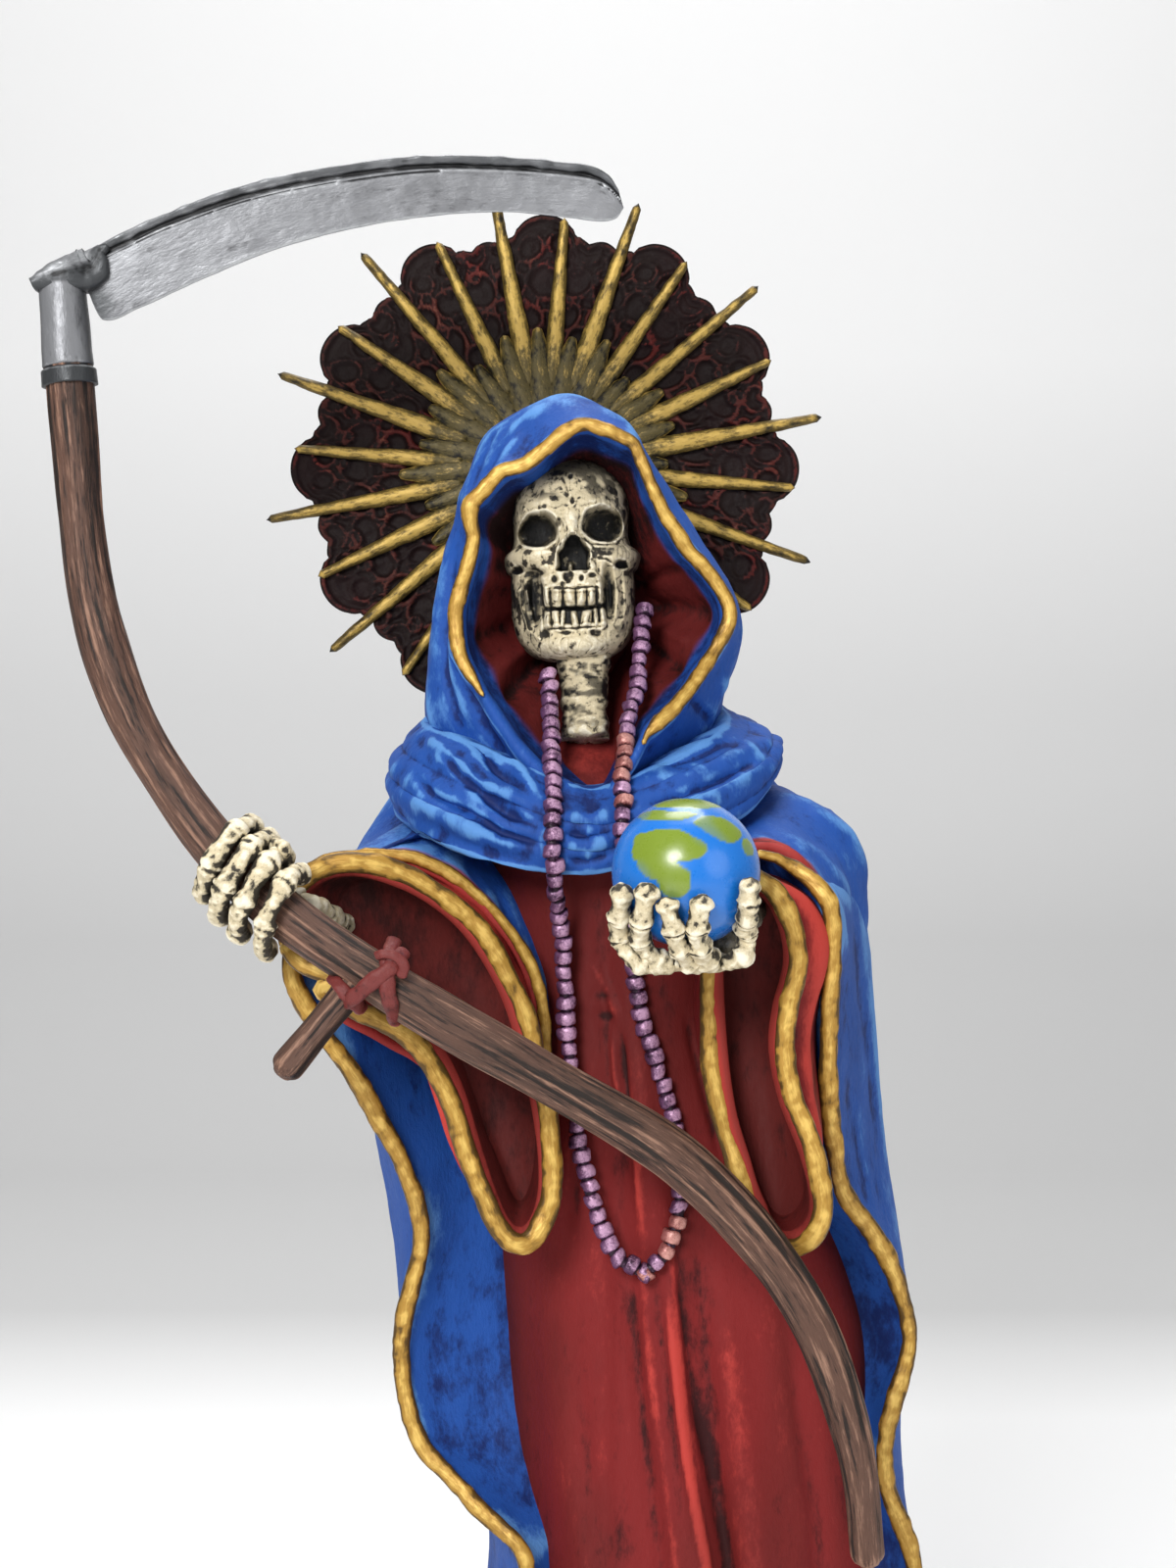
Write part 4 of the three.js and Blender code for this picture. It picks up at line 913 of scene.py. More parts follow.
# Hood: per direction round the face (degrees from the crown, + to the figure's left) the radius of the rim
# and of the outline seen from the front.
HOOD_CENTRE = (-18, 270)
hood_shape = table([
    [-180, 37, 39], [-160, 33, 40], [-140, 29, 42], [-121, 27.7, 41], [-107, 28.1, 36], [-97, 28, 33.5],
    [-87, 27.7, 33], [-76, 27.2, 33], [-66, 27.5, 33.8], [-58, 28.7, 34.6], [-53, 31.4, 35.6],
    [-49, 32.7, 37], [-45, 32.6, 38.2], [-39, 33, 40.2], [-34, 33.3, 42], [-28, 32.4, 44],
    [-22, 32.7, 44.9], [-16, 34.3, 45.6], [-11, 35.8, 45.8], [-7, 36.7, 45.2], [-3, 36.7, 44],
    [1, 35.7, 42.8], [7, 34.4, 40.4], [12, 33.4, 37.6], [16, 30.3, 35], [23, 26.5, 32], [35, 22.9, 28.4],
    [53, 21.6, 26.2], [66, 22.7, 26.4], [77, 24.2, 27.5], [86, 25.4, 28.2], [94, 25.6, 28.6],
    [103, 24.6, 28.8], [117, 23.2, 29.4], [130, 23.2, 31.2], [142, 23.8, 33.4], [155, 25, 35.8],
    [161, 26.6, 37], [180, 37, 39],
])
# Rows of the outer face: depth, share of the outline's radius, and how far it has closed in to the rim.
hood_outer = spline([
    [31, 0.04, 0], [30.5, 0.3, 0], [29, 0.5, 0], [20, 0.84, 0], [4, 1.01, 0], [-9, 1.02, 0.15],
])
# Creases of the outer face: degrees, width in degrees and rise.
hood_creases = [
    [-32, 5, 1.2], [-48, 7, -1.0], [-6, 6, 1.0], [10, 5, -0.8], [-78, 8, -1.1], [-98, 6, 0.9],
    [-118, 7, -1.0], [-136, 6, 1.1], [48, 8, -0.7], [95, 8, 0.7], [118, 7, -0.9], [140, 7, 1.0],
    [160, 6, -0.9], [-158, 6, -0.9],
]
# Folds of the lining: degrees, width in degrees and rise.
lining_folds = [
    [-100, 6, 1.6], [-118, 5, -1.2], [-132, 6, 1.8], [-150, 5, -1.0], [88, 7, 1.4], [106, 6, -1.2],
    [124, 6, 1.5], [142, 6, -1.0], [-70, 6, -0.8], [60, 6, 0.8],
]


def rim_depth(angle):
    """How far forward the hood's rim lies, by the angle from its crown: furthest at the crown and at the
    chin."""
    up = np.cos(angle)
    return -18 - 4 * np.clip(up, 0, None) ** 2 - 11 * np.clip(-up, 0, None) ** 2


def hood_ring(degrees, radius, depth, lift):
    """A ring round the face at a depth, its middle raised by lift."""
    angle = np.radians(degrees)
    x = HOOD_CENTRE[0] + radius * np.sin(angle)
    return place(x, depth, HOOD_CENTRE[1] + lift + radius * np.cos(angle))


def ridges(folds, degrees):
    """A sum of bell curves round the face."""
    return sum(rise * bump((degrees - middle + 180) % 360 - 180, width) for middle, width, rise in folds)


# Creases of the hood, drawn on its front: broken lines of x and z, width and rise.
hood_strokes = [
    ([(-27.8, 312.3), (-33.6, 307.2), (-37.9, 299.8)], 1.6, 1.2),
    ([(-47.7, 283.8), (-50, 272.1), (-50.4, 258.4)], 1.4, 0.9),
    ([(-45.3, 272.1), (-46.9, 260.4), (-43.4, 248.7)], 1.2, 0.9),
    ([(-20, 312.1), (-12.2, 308.2), (-7.3, 300.4)], 1.6, 0.8),
    ([(6.3, 258.4), (12.2, 249.7), (15.1, 244.8)], 1.8, 1),
    ([(-30.1, 310.1), (-35.6, 304.3), (-40.5, 297.4)], 0.8, -0.8),
    ([(-38.5, 309.1), (-41.5, 301.4), (-43.8, 294.5)], 0.8, -0.7),
    ([(-46.3, 283.8), (-48.3, 268.2), (-47.7, 256.5), (-44.4, 245.8)], 0.7, -1.1),
    ([(-43.4, 256.5), (-40.5, 247.7), (-35.6, 240.9)], 0.8, -1.2),
    ([(-0.5, 253.6), (5.3, 248.7), (8.3, 242.8)], 1.0, -0.8),
]


def hood():
    """Rings from behind the head over the outer face to the rim, then back over the lining."""
    degrees = np.linspace(180, -180, 240, endpoint=False)
    rim, outline = hood_shape(degrees)
    angle = np.radians(degrees)
    rings, lining = [], []
    for t in np.linspace(0, 1, 80):
        depth, scale, to_rim = hood_outer(np.array([t]))[0]
        strength = smooth(t, 0.25, 0.7)
        wide = (mix(outline, rim, to_rim) + 0.6 * ridges(hood_creases, degrees) * strength) * scale
        rings.append(hood_ring(degrees, wide, depth, 14 * (1 - min(scale, 1))))
        lining.append(0.0)
    edge = rim_depth(angle)
    last_depth = hood_outer(np.array([1.0]))[0][0]
    for t in np.linspace(0.1, 1, 18):
        out = mix(mix(outline, rim, 0.15) * 1.02 - rim, 1.6, smooth(t, 0, 1))
        rings.append(hood_ring(degrees, rim + out, mix(last_depth, edge + 1.5, t), 0))
        lining.append(0.0)
    for out, behind in ((1.4, 0.6), (0.9, -0.1), (0, -0.3), (-0.9, -0.1), (-1.4, 0.8)):
        rings.append(hood_ring(degrees, rim + out, edge + behind, 0))
        lining.append(0.0)
    inside = np.linspace(0.02, 1, 52)
    for t in inside:
        depth = mix(edge + 1.0, 8, t)
        scale = mix(1, 0.45, smooth(t, 0.1, 1.15))
        fold = ridges(lining_folds, degrees) * smooth(t, 0.25, 0.5)
        rings.append(hood_ring(degrees, (rim - 1.7) * scale + fold * 1.3, depth, 6 * (1 - scale)))
        lining.append(smooth(t, 0.27, 0.36))
    grid = np.array(rings)
    lining = np.array(lining)[:, None] * np.ones((1, len(degrees)))
    # Painted shade: the blue band just inside the rim is darkened and kept from highlights, and the lining
    # darkens round the skull and up under the crown.
    inner_rim_shade = np.zeros(lining.shape)
    inner_rim_shade[-len(inside) - 4:] = 0.5
    s = creased(surface(grid), hood_strokes)
    s = relieved(s, 0.35 * rough_noise(grid, 6, 4, 41) + 0.25 * noise(grid * [1, 1, 0.4], 10, 43))
    shade_near_skull = smooth(20 - np.hypot(grid[..., 0] + 23, grid[..., 2] - 286), 0, 7) * lining
    crown = smooth(grid[..., 2], 288, 300) * smooth(grid[..., 1], -22, -12) * (np.cumsum(lining, 0) > 0)
    s["tint"] = lining
    s["wash"] = np.clip(0.8 * shade_near_skull + 0.5 * crown + inner_rim_shade * (1 - lining), 0, 1)
    made = hollows(s, 5, 0.5, 19, 2.2)
    made["worn"] = made["worn"] * (1 - 1.6 * inner_rim_shade)
    return made


def hood_trim():
    """The border of the hood, from low on the figure's right over the crown to low on its left."""
    degrees = np.linspace(-126, 162, 300)
    line = hood_ring(degrees, hood_shape(degrees)[0], rim_depth(np.radians(degrees)) - 0.7, 0)
    way = np.linspace(0, 1, 300)
    fade = smooth(way, 0, 0.05) * smooth(1 - way, 0, 0.04)
    bulge = 0.25 * bump(degrees + 51, 5)
    return trim(even(line, 300), 1.45 * (0.35 + 0.65 * fade + bulge), 45, (0, -1, 0), 1.0)


# Skull: at each height from its centre the half width, the reach forward and the reach back.
SKULL_CENTRE = (-23.3, -3, 283.5)
SKULL_TILT = np.radians(2)
skull_shape = table([
    [-22.2, 4.4, 11.6, 0], [-21.4, 7.4, 13.6, 1], [-19.8, 9.8, 14.5, 2], [-16.8, 11.7, 14.6, 3],
    [-12.5, 12.5, 14.4, 4], [-7, 12.6, 14.4, 8], [-4.6, 12.5, 14.3, 10], [-3.6, 13.2, 14.2, 11],
    [-1.5, 13.9, 14.1, 13], [-0.2, 13.3, 14, 14], [0.9, 12, 14, 15], [3.6, 11.6, 13.9, 17],
    [7.4, 11.9, 14.6, 18], [10.5, 11.6, 14, 17.5], [14, 10.2, 12, 15], [17, 7.2, 8.4, 11], [18.8, 4, 5, 7],
    [19.6, 1.2, 2, 3],
])
# Features of the face: x, height, half width, half height, rise, hardness of the edge and darkness.
skull_features = [
    [-6.6, 3.6, 3.75, 3.35, -6, 5, 1], [6.3, 4.3, 3.8, 3.25, -6, 5, 1], [-6.6, 3.6, 4.3, 3.9, 0.3, 6, 0],
    [6.3, 4.3, 4.3, 3.8, 0.3, 6, 0], [-6.2, 8.8, 4.6, 1.4, 0.7, 1, 0], [6.2, 9.0, 4.6, 1.4, 0.7, 1, 0],
    [0.1, 4.2, 1.6, 2.4, 1.9, 1.5, 0], [0.3, 1.6, 2.0, 1.2, 1.3, 1, 0], [-9.3, -1.4, 3.4, 2.3, 1.6, 1.6, 0],
    [9.6, -1.6, 3.2, 2.2, 1.6, 1.6, 0], [-5.6, -0.9, 2.2, 1.2, 0.8, 1, 0],
    [-10.8, -3.9, 1.25, 0.72, -2.6, 3, 1], [9.8, -3.6, 1.35, 0.78, -2.6, 3, 1],
    [7, -1.1, 1.6, 0.9, -0.8, 1.5, 0.5], [-7.3, -9.8, 1.5, 5.2, -3.4, 2, 0.75],
    [6.9, -9.3, 1.15, 5.2, -3, 2, 0.85], [-7.2, -4.9, 2.2, 0.9, -1.3, 1.5, 0.6],
    [0.4, -8.6, 5.6, 3.4, 1.2, 2.2, 0], [0.5, -14.2, 6.2, 3.2, 0.9, 2.2, 0],
    [0.9, -19.6, 6.2, 1.9, 1.6, 1.6, 0], [-0.9, -5.9, 0.95, 1.2, -1.3, 2, 0.95],
    [-3.5, -6.4, 0.7, 0.8, -0.9, 2, 0.7], [1.8, -6.4, 0.5, 0.7, -0.9, 2, 0.75],
    [3.9, -5.8, 0.75, 0.5, -0.9, 2, 0.6], [2.6, -5.0, 0.5, 0.4, -0.7, 2, 0.5],
    [-1.9, -7.5, 0.4, 0.6, -0.6, 2, 0.5], [-5.8, -16.8, 0.7, 1.0, -0.8, 2, 0.5],
    [-1.6, -17, 1.1, 0.5, -0.7, 2, 0.5], [4.1, -17.2, 1.1, 0.8, -0.9, 2, 0.55],
    [0.5, 9.0, 0.45, 0.8, -0.7, 2, 0.6], [-2.4, 4.8, 0.55, 0.8, -0.8, 2, 0.7],
    [0.3, 13.9, 0.5, 0.5, -0.6, 2, 0.8], [-2.8, 10, 0.9, 1.4, -0.3, 1, 0.4],
    [-6.6, 10.8, 1.6, 1.2, -0.4, 1, 0.5], [7.6, 9.6, 0.8, 0.7, -0.5, 1, 0.5],
    [-9.4, 9.2, 0.7, 0.5, -0.4, 1, 0.5],
]
# Lines cut or raised on the face: broken lines of x and height, width and rise.
skull_strokes = [
    ([(-2.6, 2.8), (-3.4, 0), (-3.9, -3), (-3.4, -6)], 0.65, -1.2),
    ([(3.8, -0.2), (4.8, -3), (5.5, -6)], 0.55, -1.0),
    ([(-2.2, 1.2), (-2.9, -1.5), (-3.1, -3.8)], 0.35, 0.7),
    ([(2.0, 1.6), (3.2, -1.2), (3.5, -3.8)], 0.35, 0.7),
    ([(-9.6, -5.5), (-8.9, -10), (-7.9, -15)], 0.3, 0.8),
    ([(-11.2, -6), (-10.6, -11), (-9.2, -16), (-6, -19)], 0.45, 0.8),
    ([(-10.2, -7), (-9.8, -12), (-8.2, -17)], 0.35, -0.9),
    ([(8.6, -5.5), (8.9, -10), (8.4, -15)], 0.5, 0.8), ([(10.4, -6), (10.6, -12), (9.2, -17)], 0.4, 0.5),
    ([(9.7, -6), (9.8, -12)], 0.3, -0.5), ([(7.6, 8.6), (9.4, 6.4), (10.2, 3.2)], 0.3, -0.5),
    ([(8.6, 9.6), (10.4, 6.6)], 0.25, -0.4), ([(0, 9), (-0.6, 12), (-1.4, 14)], 0.35, -0.5),
    ([(3.9, 0.4), (6.6, 0.2), (9.2, 0.6), (10.2, 2.2)], 0.25, -0.5),
    ([(-10.6, 1.4), (-8.2, -0.1), (-4, 0.4)], 0.3, 0.5),
    ([(4.9, -2.4), (6.8, -2.6), (8.4, -3.6)], 0.25, -0.6),
    ([(-7.6, -20.2), (-6.4, -18), (-6.9, -15.5)], 0.3, -0.5),
    ([(-5.9, -8.4), (-4.4, -8.1), (0, -8.5), (4, -8.2), (6.4, -8.6)], 0.3, -0.9),
    ([(-5.9, -12.3), (0, -12.4), (6.4, -12.2)], 0.28, -1.3),
    ([(-5.6, -16.1), (0, -16.2), (6, -15.9)], 0.3, -0.9),
    ([(-6.2, -8), (-6.1, -12), (-5.8, -16)], 0.35, -1.0),
]
# Two rows of teeth: the left and right side of each tooth, and the heights of the row's top and foot.
tooth_rows = [
    ([(-5.9, -4.5), (-4.4, -2.1), (-1.8, 0.5), (0.7, 2.6), (2.8, 4.5), (4.7, 6.5)], -8.5, -12.1),
    ([(-5.9, -4.5), (-4.3, -2.7), (-2.5, -1.9), (-0.4, 0.7), (1.5, 3.5), (4.0, 4.7), (5.2, 6.5)],
      -12.5, -15.9),
]


def teeth(x, z):
    """Rows of rounded blocks in a dark trough: each tooth is a dome across its width and height, leaning
    its own way. Returns the rise and how dark the gaps are: darkest between the rows and between the
    teeth."""
    total, gaps = np.zeros(x.shape), np.zeros(x.shape)
    z = z - 0.014 * x**2
    for row, top, foot in tooth_rows:
        up = (z - (top + foot) / 2) / ((top - foot) / 2)
        inner = -up if top > -10 else up
        tooth = np.zeros(x.shape)
        for n, (left, right) in enumerate(row):
            lean = 0.22 * np.sin(3.7 * n + top)
            half_width = (right - left) / 2 + 0.1 + 0.08 * np.sin(7 * n)
            across = np.abs((x - (left + right) / 2 - lean * up) / half_width)
            high = np.abs(up * (1 + 0.1 * np.sin(5 * n)) + 0.12 * np.sin(2 * n + 1))
            high = high / np.where(inner > 0, 1.08, 1.45)
            tooth = np.maximum(tooth, (1 - np.clip(across, 0, 1) ** 1.8) * (1 - np.clip(high, 0, 1) ** 2))
        trough = smooth(6.6 - np.abs(x - 0.3), 0, 0.9) * smooth(1.4 - np.abs(up), 0, 0.5)
        total += 2.2 * tooth - 1.1 * trough * smooth(inner, -1.1, -0.5)
        gaps += trough * smooth(0.4 - tooth, 0, 0.3) * smooth(inner, -1.0, -0.5)
    return total, np.clip(gaps, 0, 1)


def nose(x, z, ragged):
    """The nose hole: the rise of its rim and of its floor, and how dark it is. It widens downwards, and a
    thin spike stands at its foot."""
    half_width = 0.5 + 0.95 * np.clip(2.2 - z, 0, 3.2) ** 0.85
    off = np.abs(x - 0.4) / half_width * (1 + 0.15 * ragged)
    hole = smooth(1.12 - off, 0, 0.3) * smooth(z, -5.0, -4.2) * smooth(2.6 - z, 0, 0.8)
    spike = bump(x + 0.3, 0.4) * smooth(z, -2.4, -4.2)
    rim = 0.7 * bump(off - 1.3, 0.2) * smooth(z, -5.2, -4) * smooth(3.4 - z, 0, 0.8)
    return rim - 4.5 * hole * (1 - spike), hole, hole * (1 - spike)


def skull():
    """Sections from chin to crown, a front curve and a back curve at each height, drawn out and in by the
    features, the teeth and the nose. Sockets and other holes and the temples take the dark tint, and so do
    the crown, as painted shadow of the hood, and the sides that turn away, as painted shade. The front of
    the face takes a painted highlight."""
    half = np.r_[np.linspace(0, 62, 98), np.linspace(63, 100, 24), np.linspace(104, 176, 10)]
    degrees = np.r_[-half[::-1], half[1:], 180]
    heights = np.r_[np.linspace(-22.2, 11, 172), np.linspace(11.25, 19.5, 28)]
    turn, z = np.meshgrid(np.radians(degrees), heights)
    width, front, back = skull_shape(z)
    x = width * np.sin(turn)
    front_on = np.clip(np.cos(turn), 0, 1)
    carved, dark = teeth(x, z)
    ragged = noise(np.stack([x, z, 0 * x], -1), 1.6, 91)
    for fx, fz, half_width, half_height, rise, hard, black in skull_features:
        off = (((x - fx) / half_width) ** 2 + ((z - fz) / half_height) ** 2) * (1 + 0.14 * ragged)
        pit = np.exp(-(off**hard))
        carved += rise * pit
        dark += black * pit
    nose_rise, nose_hole, nose_dark = nose(x, z, ragged)
    carved += nose_rise + strokes(x, z, skull_strokes)
    dark = np.clip(dark + nose_dark, 0, 1)
    forward = front * front_on**0.85 - back * np.clip(-np.cos(turn), 0, 1) + carved * front_on**0.3
    cos, sin = np.cos(-SKULL_TILT), np.sin(-SKULL_TILT)
    middle_x, middle_y, middle_z = SKULL_CENTRE
    grid = place(middle_x + cos * x + sin * z, middle_y - forward, middle_z - sin * x + cos * z)
    flecks = smooth(rough_noise(grid, 0.9, 2, 59), 0.35, 0.6)
    blotch = smooth(noise(grid, 2.6, 57) + 0.7 * noise(grid, 1.0, 58), -0.1, 0.5)
    veins = bump(noise(grid * [1, 1, 0.7], 1.9, 54), 0.14)
    temples = 0.9 * smooth(np.abs(x), 8, 11) * smooth(z, 2, 8) * blotch
    # Painted shadow of the hood on the crown.
    crown = smooth(z, 12, 16) + 0.9 * smooth(z, 8, 12.5) * blotch
    # Painted shade on the sides that turn away from the front.
    behind = smooth(front_on, 0.55, 0.2) * 0.8
    jaw_side = smooth(-z, 3, 7) * smooth(np.abs(x), 6.5, 8.5) * smooth(z, -19, -16)
    tint = dark * (1 - 0.35 * flecks) + np.clip(crown + temples, 0, 0.85) + behind + 0.7 * jaw_side * blotch
    rough = 0.16 * rough_noise(grid, 2.4, 3, 51) + 0.22 * np.minimum(0, noise(grid, 1.15, 53) + 0.25)
    s = surface(grid, tint=np.clip(tint, 0, 1))
    s = relieved(s, rough * (1 - 0.6 * nose_hole) - 0.1 * veins * (1 - dark))
    patches = smooth(rough_noise(grid, 1.8, 4, 67), 0.05, 0.5)
    s["wash"] = np.clip(0.2 * veins * (0.3 + jaw_side) + 0.75 * patches, 0, 1)
    # Painted highlight on the front of the face.
    s["worn"] = 0.35 * smooth(np.abs(x), 9, 6) * smooth(z, 12, 6) * (1 - jaw_side) * (1 - dark)
    return hollows(s, 3, 0.2, 15, 2.0)


NECK_SIDES = 64


def neck():
    """A tapering column of bone ringed by shallow bands, with a ragged lower end."""
    line = route(at([[-21, -8, 270], [-20.8, -10.6, 257], [-20.5, -13.6, 245.8]]), 90)
    t = np.linspace(0, 1, 90)[:, None]
    radius = (6.8 - 2.1 * smooth(t, 0, 0.6)) * (1 + 0.02 * np.sin(TAU * 6 * t) - 0.04 * bump(t - 0.8, 0.1))
    s = tube(line, radius, (0, -1, 0), NECK_SIDES, ends=False)
    down = smooth(t, 0.88, 1)
    ragged = 1.6 * down * noise(s["grid"] * [1, 1, 0.1], 1.6, 61)
    s["grid"] = s["grid"] - ragged[..., None] * [0, 0, 1]
    s = relieved(s, 0.45 * rough_noise(s["grid"] * [1, 1, 1.9], 2.2, 3, 63))
    # Painted shade: the tint darkens the neck's sides and its top under the jaw, as well as black speckle.
    # Its ragged lower end is paler.
    side = smooth(np.abs(np.sin(circle(NECK_SIDES))), 0.6, 0.98)
    coarse, fine = noise(s["grid"] * [1, 1, 2.2], 2.1, 65), noise(s["grid"] * [1, 1, 1.6], 0.9, 66)
    speckle = smooth(coarse + 0.6 * fine, -0.1, 0.5)
    s["tint"] = np.clip(0.8 * speckle * (1 - 0.9 * down) + 0.6 * side + 0.5 * smooth(t, 0.3, 0), 0, 1)
    s["worn"] = 0.5 * down
    return hollows(s, 4, 0.2)


# The two strands of the necklace, down to where they meet.
strands = [
    [[-28, -13, 258], [-27.3, -19, 248.6], [-26.8, -29, 237], [-26.8, -35.5, 227], [-26.4, -35, 220],
     [-25, -27, 208], [-24, -25.5, 190], [-22.3, -25.8, 173], [-19.5, -26.5, 158], [-14.4, -28, 146.1],
     [-9.1, -28.5, 143]],
    [[-8.6, -6, 271.5], [-9.2, -9, 266], [-10.3, -14, 257], [-12.3, -21, 247.5], [-13.4, -29, 238],
     [-13.6, -35, 228.6], [-12.9, -35, 219.6], [-11.9, -27, 206], [-9.7, -25.5, 191.9],
     [-6.5, -25.5, 181.6], [-3, -25.8, 170], [-2.4, -27, 156], [-5, -28.3, 147], [-9.1, -28.5, 143]],
]
BEAD_PITCH = 2.85
BEAD_RADIUS = 1.75
BEAD_HALF_LENGTH = 1.42
BEAD_FORWARD = 1.1
BEAD_SIDES = 16
NECKLACE_CORD_RADIUS = 1.15


def beads():
    """Blocky round-edged discs along each strand, over a thin dark core, painted shade in the gaps between
    them:
    lumpy superellipses, each turned, sized and shifted a little by noise. Each bead darkens at its ends
    with painted shade, and its rim takes a painted highlight on the side that faces the front."""
    t = np.linspace(0, np.pi, 11)
    angle = circle(BEAD_SIDES)
    ring_size = np.sin(t) ** 0.5
    lengthwise = np.sign(np.cos(t)) * np.abs(np.cos(t)) ** 0.6
    rim = smooth(ring_size, 0.6, 0.95)[:, None]
    # Painted highlight on the side of each bead that faces the front.
    lit = smooth(np.cos(angle) - 0.5 * np.sin(angle), 0.3, 1)
    around = 9 * np.stack([np.cos(angle), np.sin(angle), 0 * angle], -1)
    made = []
    for strand, points in enumerate(strands):
        dense = route(at(points), 400) + [0, -BEAD_FORWARD, 0]
        # The core is painted dark, as painted shade in the gaps between beads.
        made.append({**tube(dense, np.full((400, 1), NECKLACE_CORD_RADIUS), (0, -1, 0), 8), "wash": 0.7})
        centres = even(dense, int(reach_along(dense)[-1] / BEAD_PITCH))
        along, first, second = frames(centres, (0, -1, 0))
        heights = on_table(centres)[1]
        wander = np.stack([noise(centres * 7.1, 3, 71 + j) for j in range(4)], -1)
        for k, (tilt, size, shift, stretch) in enumerate(wander):
            tilted = unit(along[k] + 0.4 * tilt * second[k])
            lumps = 1 + 0.14 * noise(centres[k] + around, 6, 76)
            ring = first[k] * np.cos(angle)[:, None] + second[k] * np.sin(angle)[:, None]
            out = BEAD_RADIUS * (1 + 0.14 * size) * ring_size[:, None] * lumps
            half_length = BEAD_HALF_LENGTH + 0.14 * stretch
            middle = centres[k] + 0.5 * shift * second[k] - tilted * (half_length * lengthwise)[:, None]
            grid = middle[:, None] + out[..., None] * ring
            warm = strand == 1 and (231 < heights[k] < 245 or heights[k] < 156) and size > -0.2
            # Painted shade at each bead's ends, where it meets the next, and a painted highlight on its
            # rim.
            bead = surface(grid, tint=0.75 * warm, worn=0.6 * rim * lit, wash=0.7 * (1 - rim))
            made.append(relieved(bead, 0.2 * noise(grid, 1.0, 79)))
    return made


# Scythe: the bent shaft from the ferrule down across the body.
shaft_points = at([
    [-118.4, -36, 320], [-117, -36, 303.6], [-113.3, -39, 273.8], [-107.6, -42, 255.2], [-98.8, -45, 238.8],
    [-80.6, -50, 217.3], [-57.5, -54, 201], [-28.9, -55, 184.3], [-2, -55, 167.5], [18, -55, 144],
    [28.4, -51, 117], [31.8, -46, 92.5],
])
SHAFT_RADIUS = 4.5
# Shares of the shaft's length at which the fist holds it and the peg stands out.
FIST, PEG = 0.385, 0.475
PEG_RADIUS = 2.75
PEG_WAY = unit(np.array([-0.62, -0.1, -0.76]))
# Straps of the lashing: points, steps and radius.
straps = [
    ([(-55.4, -49.5, 208), (-55.4, -55, 207.6), (-56, -59.4, 204.8), (-55.8, -60.2, 200.6),
      (-55.2, -58.8, 196.6), (-55, -55, 194.2), (-55.2, -49.5, 194.6)], 70, 1.15),
    ([(-53.2, -55, 206.6), (-55, -60.2, 204.2), (-58.8, -60.4, 201.2), (-61.8, -59, 198.6),
      (-63.6, -56, 197.6), (-63.4, -52.5, 197.6)], 60, 1.2),
    ([(-53.4, -60, 202), (-52.8, -60.8, 204.2), (-54.2, -61, 206), (-56.6, -60.8, 206.4),
      (-58, -59.6, 205.8)], 60, 0.75),
]
shaft_line = route(shaft_points, 460)
shaft_along, shaft_front, shaft_side = frames(shaft_line, (0, -1, 0))


def on_shaft(position):
    """The point and directions at a share of the shaft's length."""
    k = int(round(position * (len(shaft_line) - 1)))
    return shaft_line[k], shaft_along[k], shaft_front[k], shaft_side[k]


def woody(s, deep=0.4, seed=81):
    """Grain: grooves of two sizes that run along the bar, from noise stretched along its flow, and low
    lumps."""
    flow = s["flow"]
    grooves = np.minimum(0, noise(flow * [1, 1, 0.06], 1.3, seed) + 0.1)
    fine = 0.5 * noise(flow * [1, 1, 0.05], 0.7, seed + 1)
    lumps = 0.5 * noise(flow * [1, 1, 0.3], 6, seed + 2)
    return hollows(relieved(s, deep * (grooves + fine + lumps)), 2, 0.17)


def shaft():
    """A round bar along the shaft's line, a little wavy, thinner towards its foot."""
    t = np.linspace(0, 1, len(shaft_line))[:, None]
    radius = SHAFT_RADIUS * (0.99 + 0.04 * np.sin(38 * t)) * (1 - 0.3 * smooth(t, 0.75, 1))
    return woody(tube(shaft_line, radius, (0, -1, 0), 44))


def peg():
    """The side peg: a straight bar down and out from the shaft, a little wavy, thicker towards its end."""
    t = np.linspace(0, 1, 90)[:, None]
    line = on_shaft(PEG)[0] + PEG_WAY * (20 + SHAFT_RADIUS) * t
    radius = PEG_RADIUS * (1 + 0.04 * np.sin(9 * t) + 0.06 * t)
    return woody(tube(line, radius, (0, -1, 0), 36), 0.4, 87)


def loop_round(centre, along, front, side, radius, start, end, lean=0.0, count=60):
    """Part of a circle across the shaft, between two angles from the front, leaning along it by lean."""
    angle = np.radians(np.linspace(start, end, count))[:, None]
    return centre + radius * (front * np.cos(angle) + side * np.sin(angle)) + along * lean * np.sin(angle)


def lashing():
    """Straps round the shaft at the peg: one over its front, one down to the peg's root, the short end of
    the knot, and one round that root."""
    forward, sideways = unit(np.array([0, -1, 0.13])), unit(np.array([0.76, 0, -0.62]))
    ring = loop_round(on_shaft(PEG)[0] + PEG_WAY * 5.2, PEG_WAY, forward, sideways, 3.3, -170, 170, 0.5)
    parts = [(route(at(points), count), radius) for points, count, radius in straps] + [(ring, 1.1)]
    made = []
    for n, (line, radius) in enumerate(parts):
        wide = radius * (1 + 0.25 * noise(line, 3, 83 + n))[:, None]
        s = slab(line, 0.7 * wide, 1.25 * wide, unit(np.array([0.1, -1, 0.2])), 16, 2.6)
        made.append(hollows(relieved(s, 0.2 * noise(s["grid"], 1.4, 86)), 2, 0.3, axis=0))
    return made


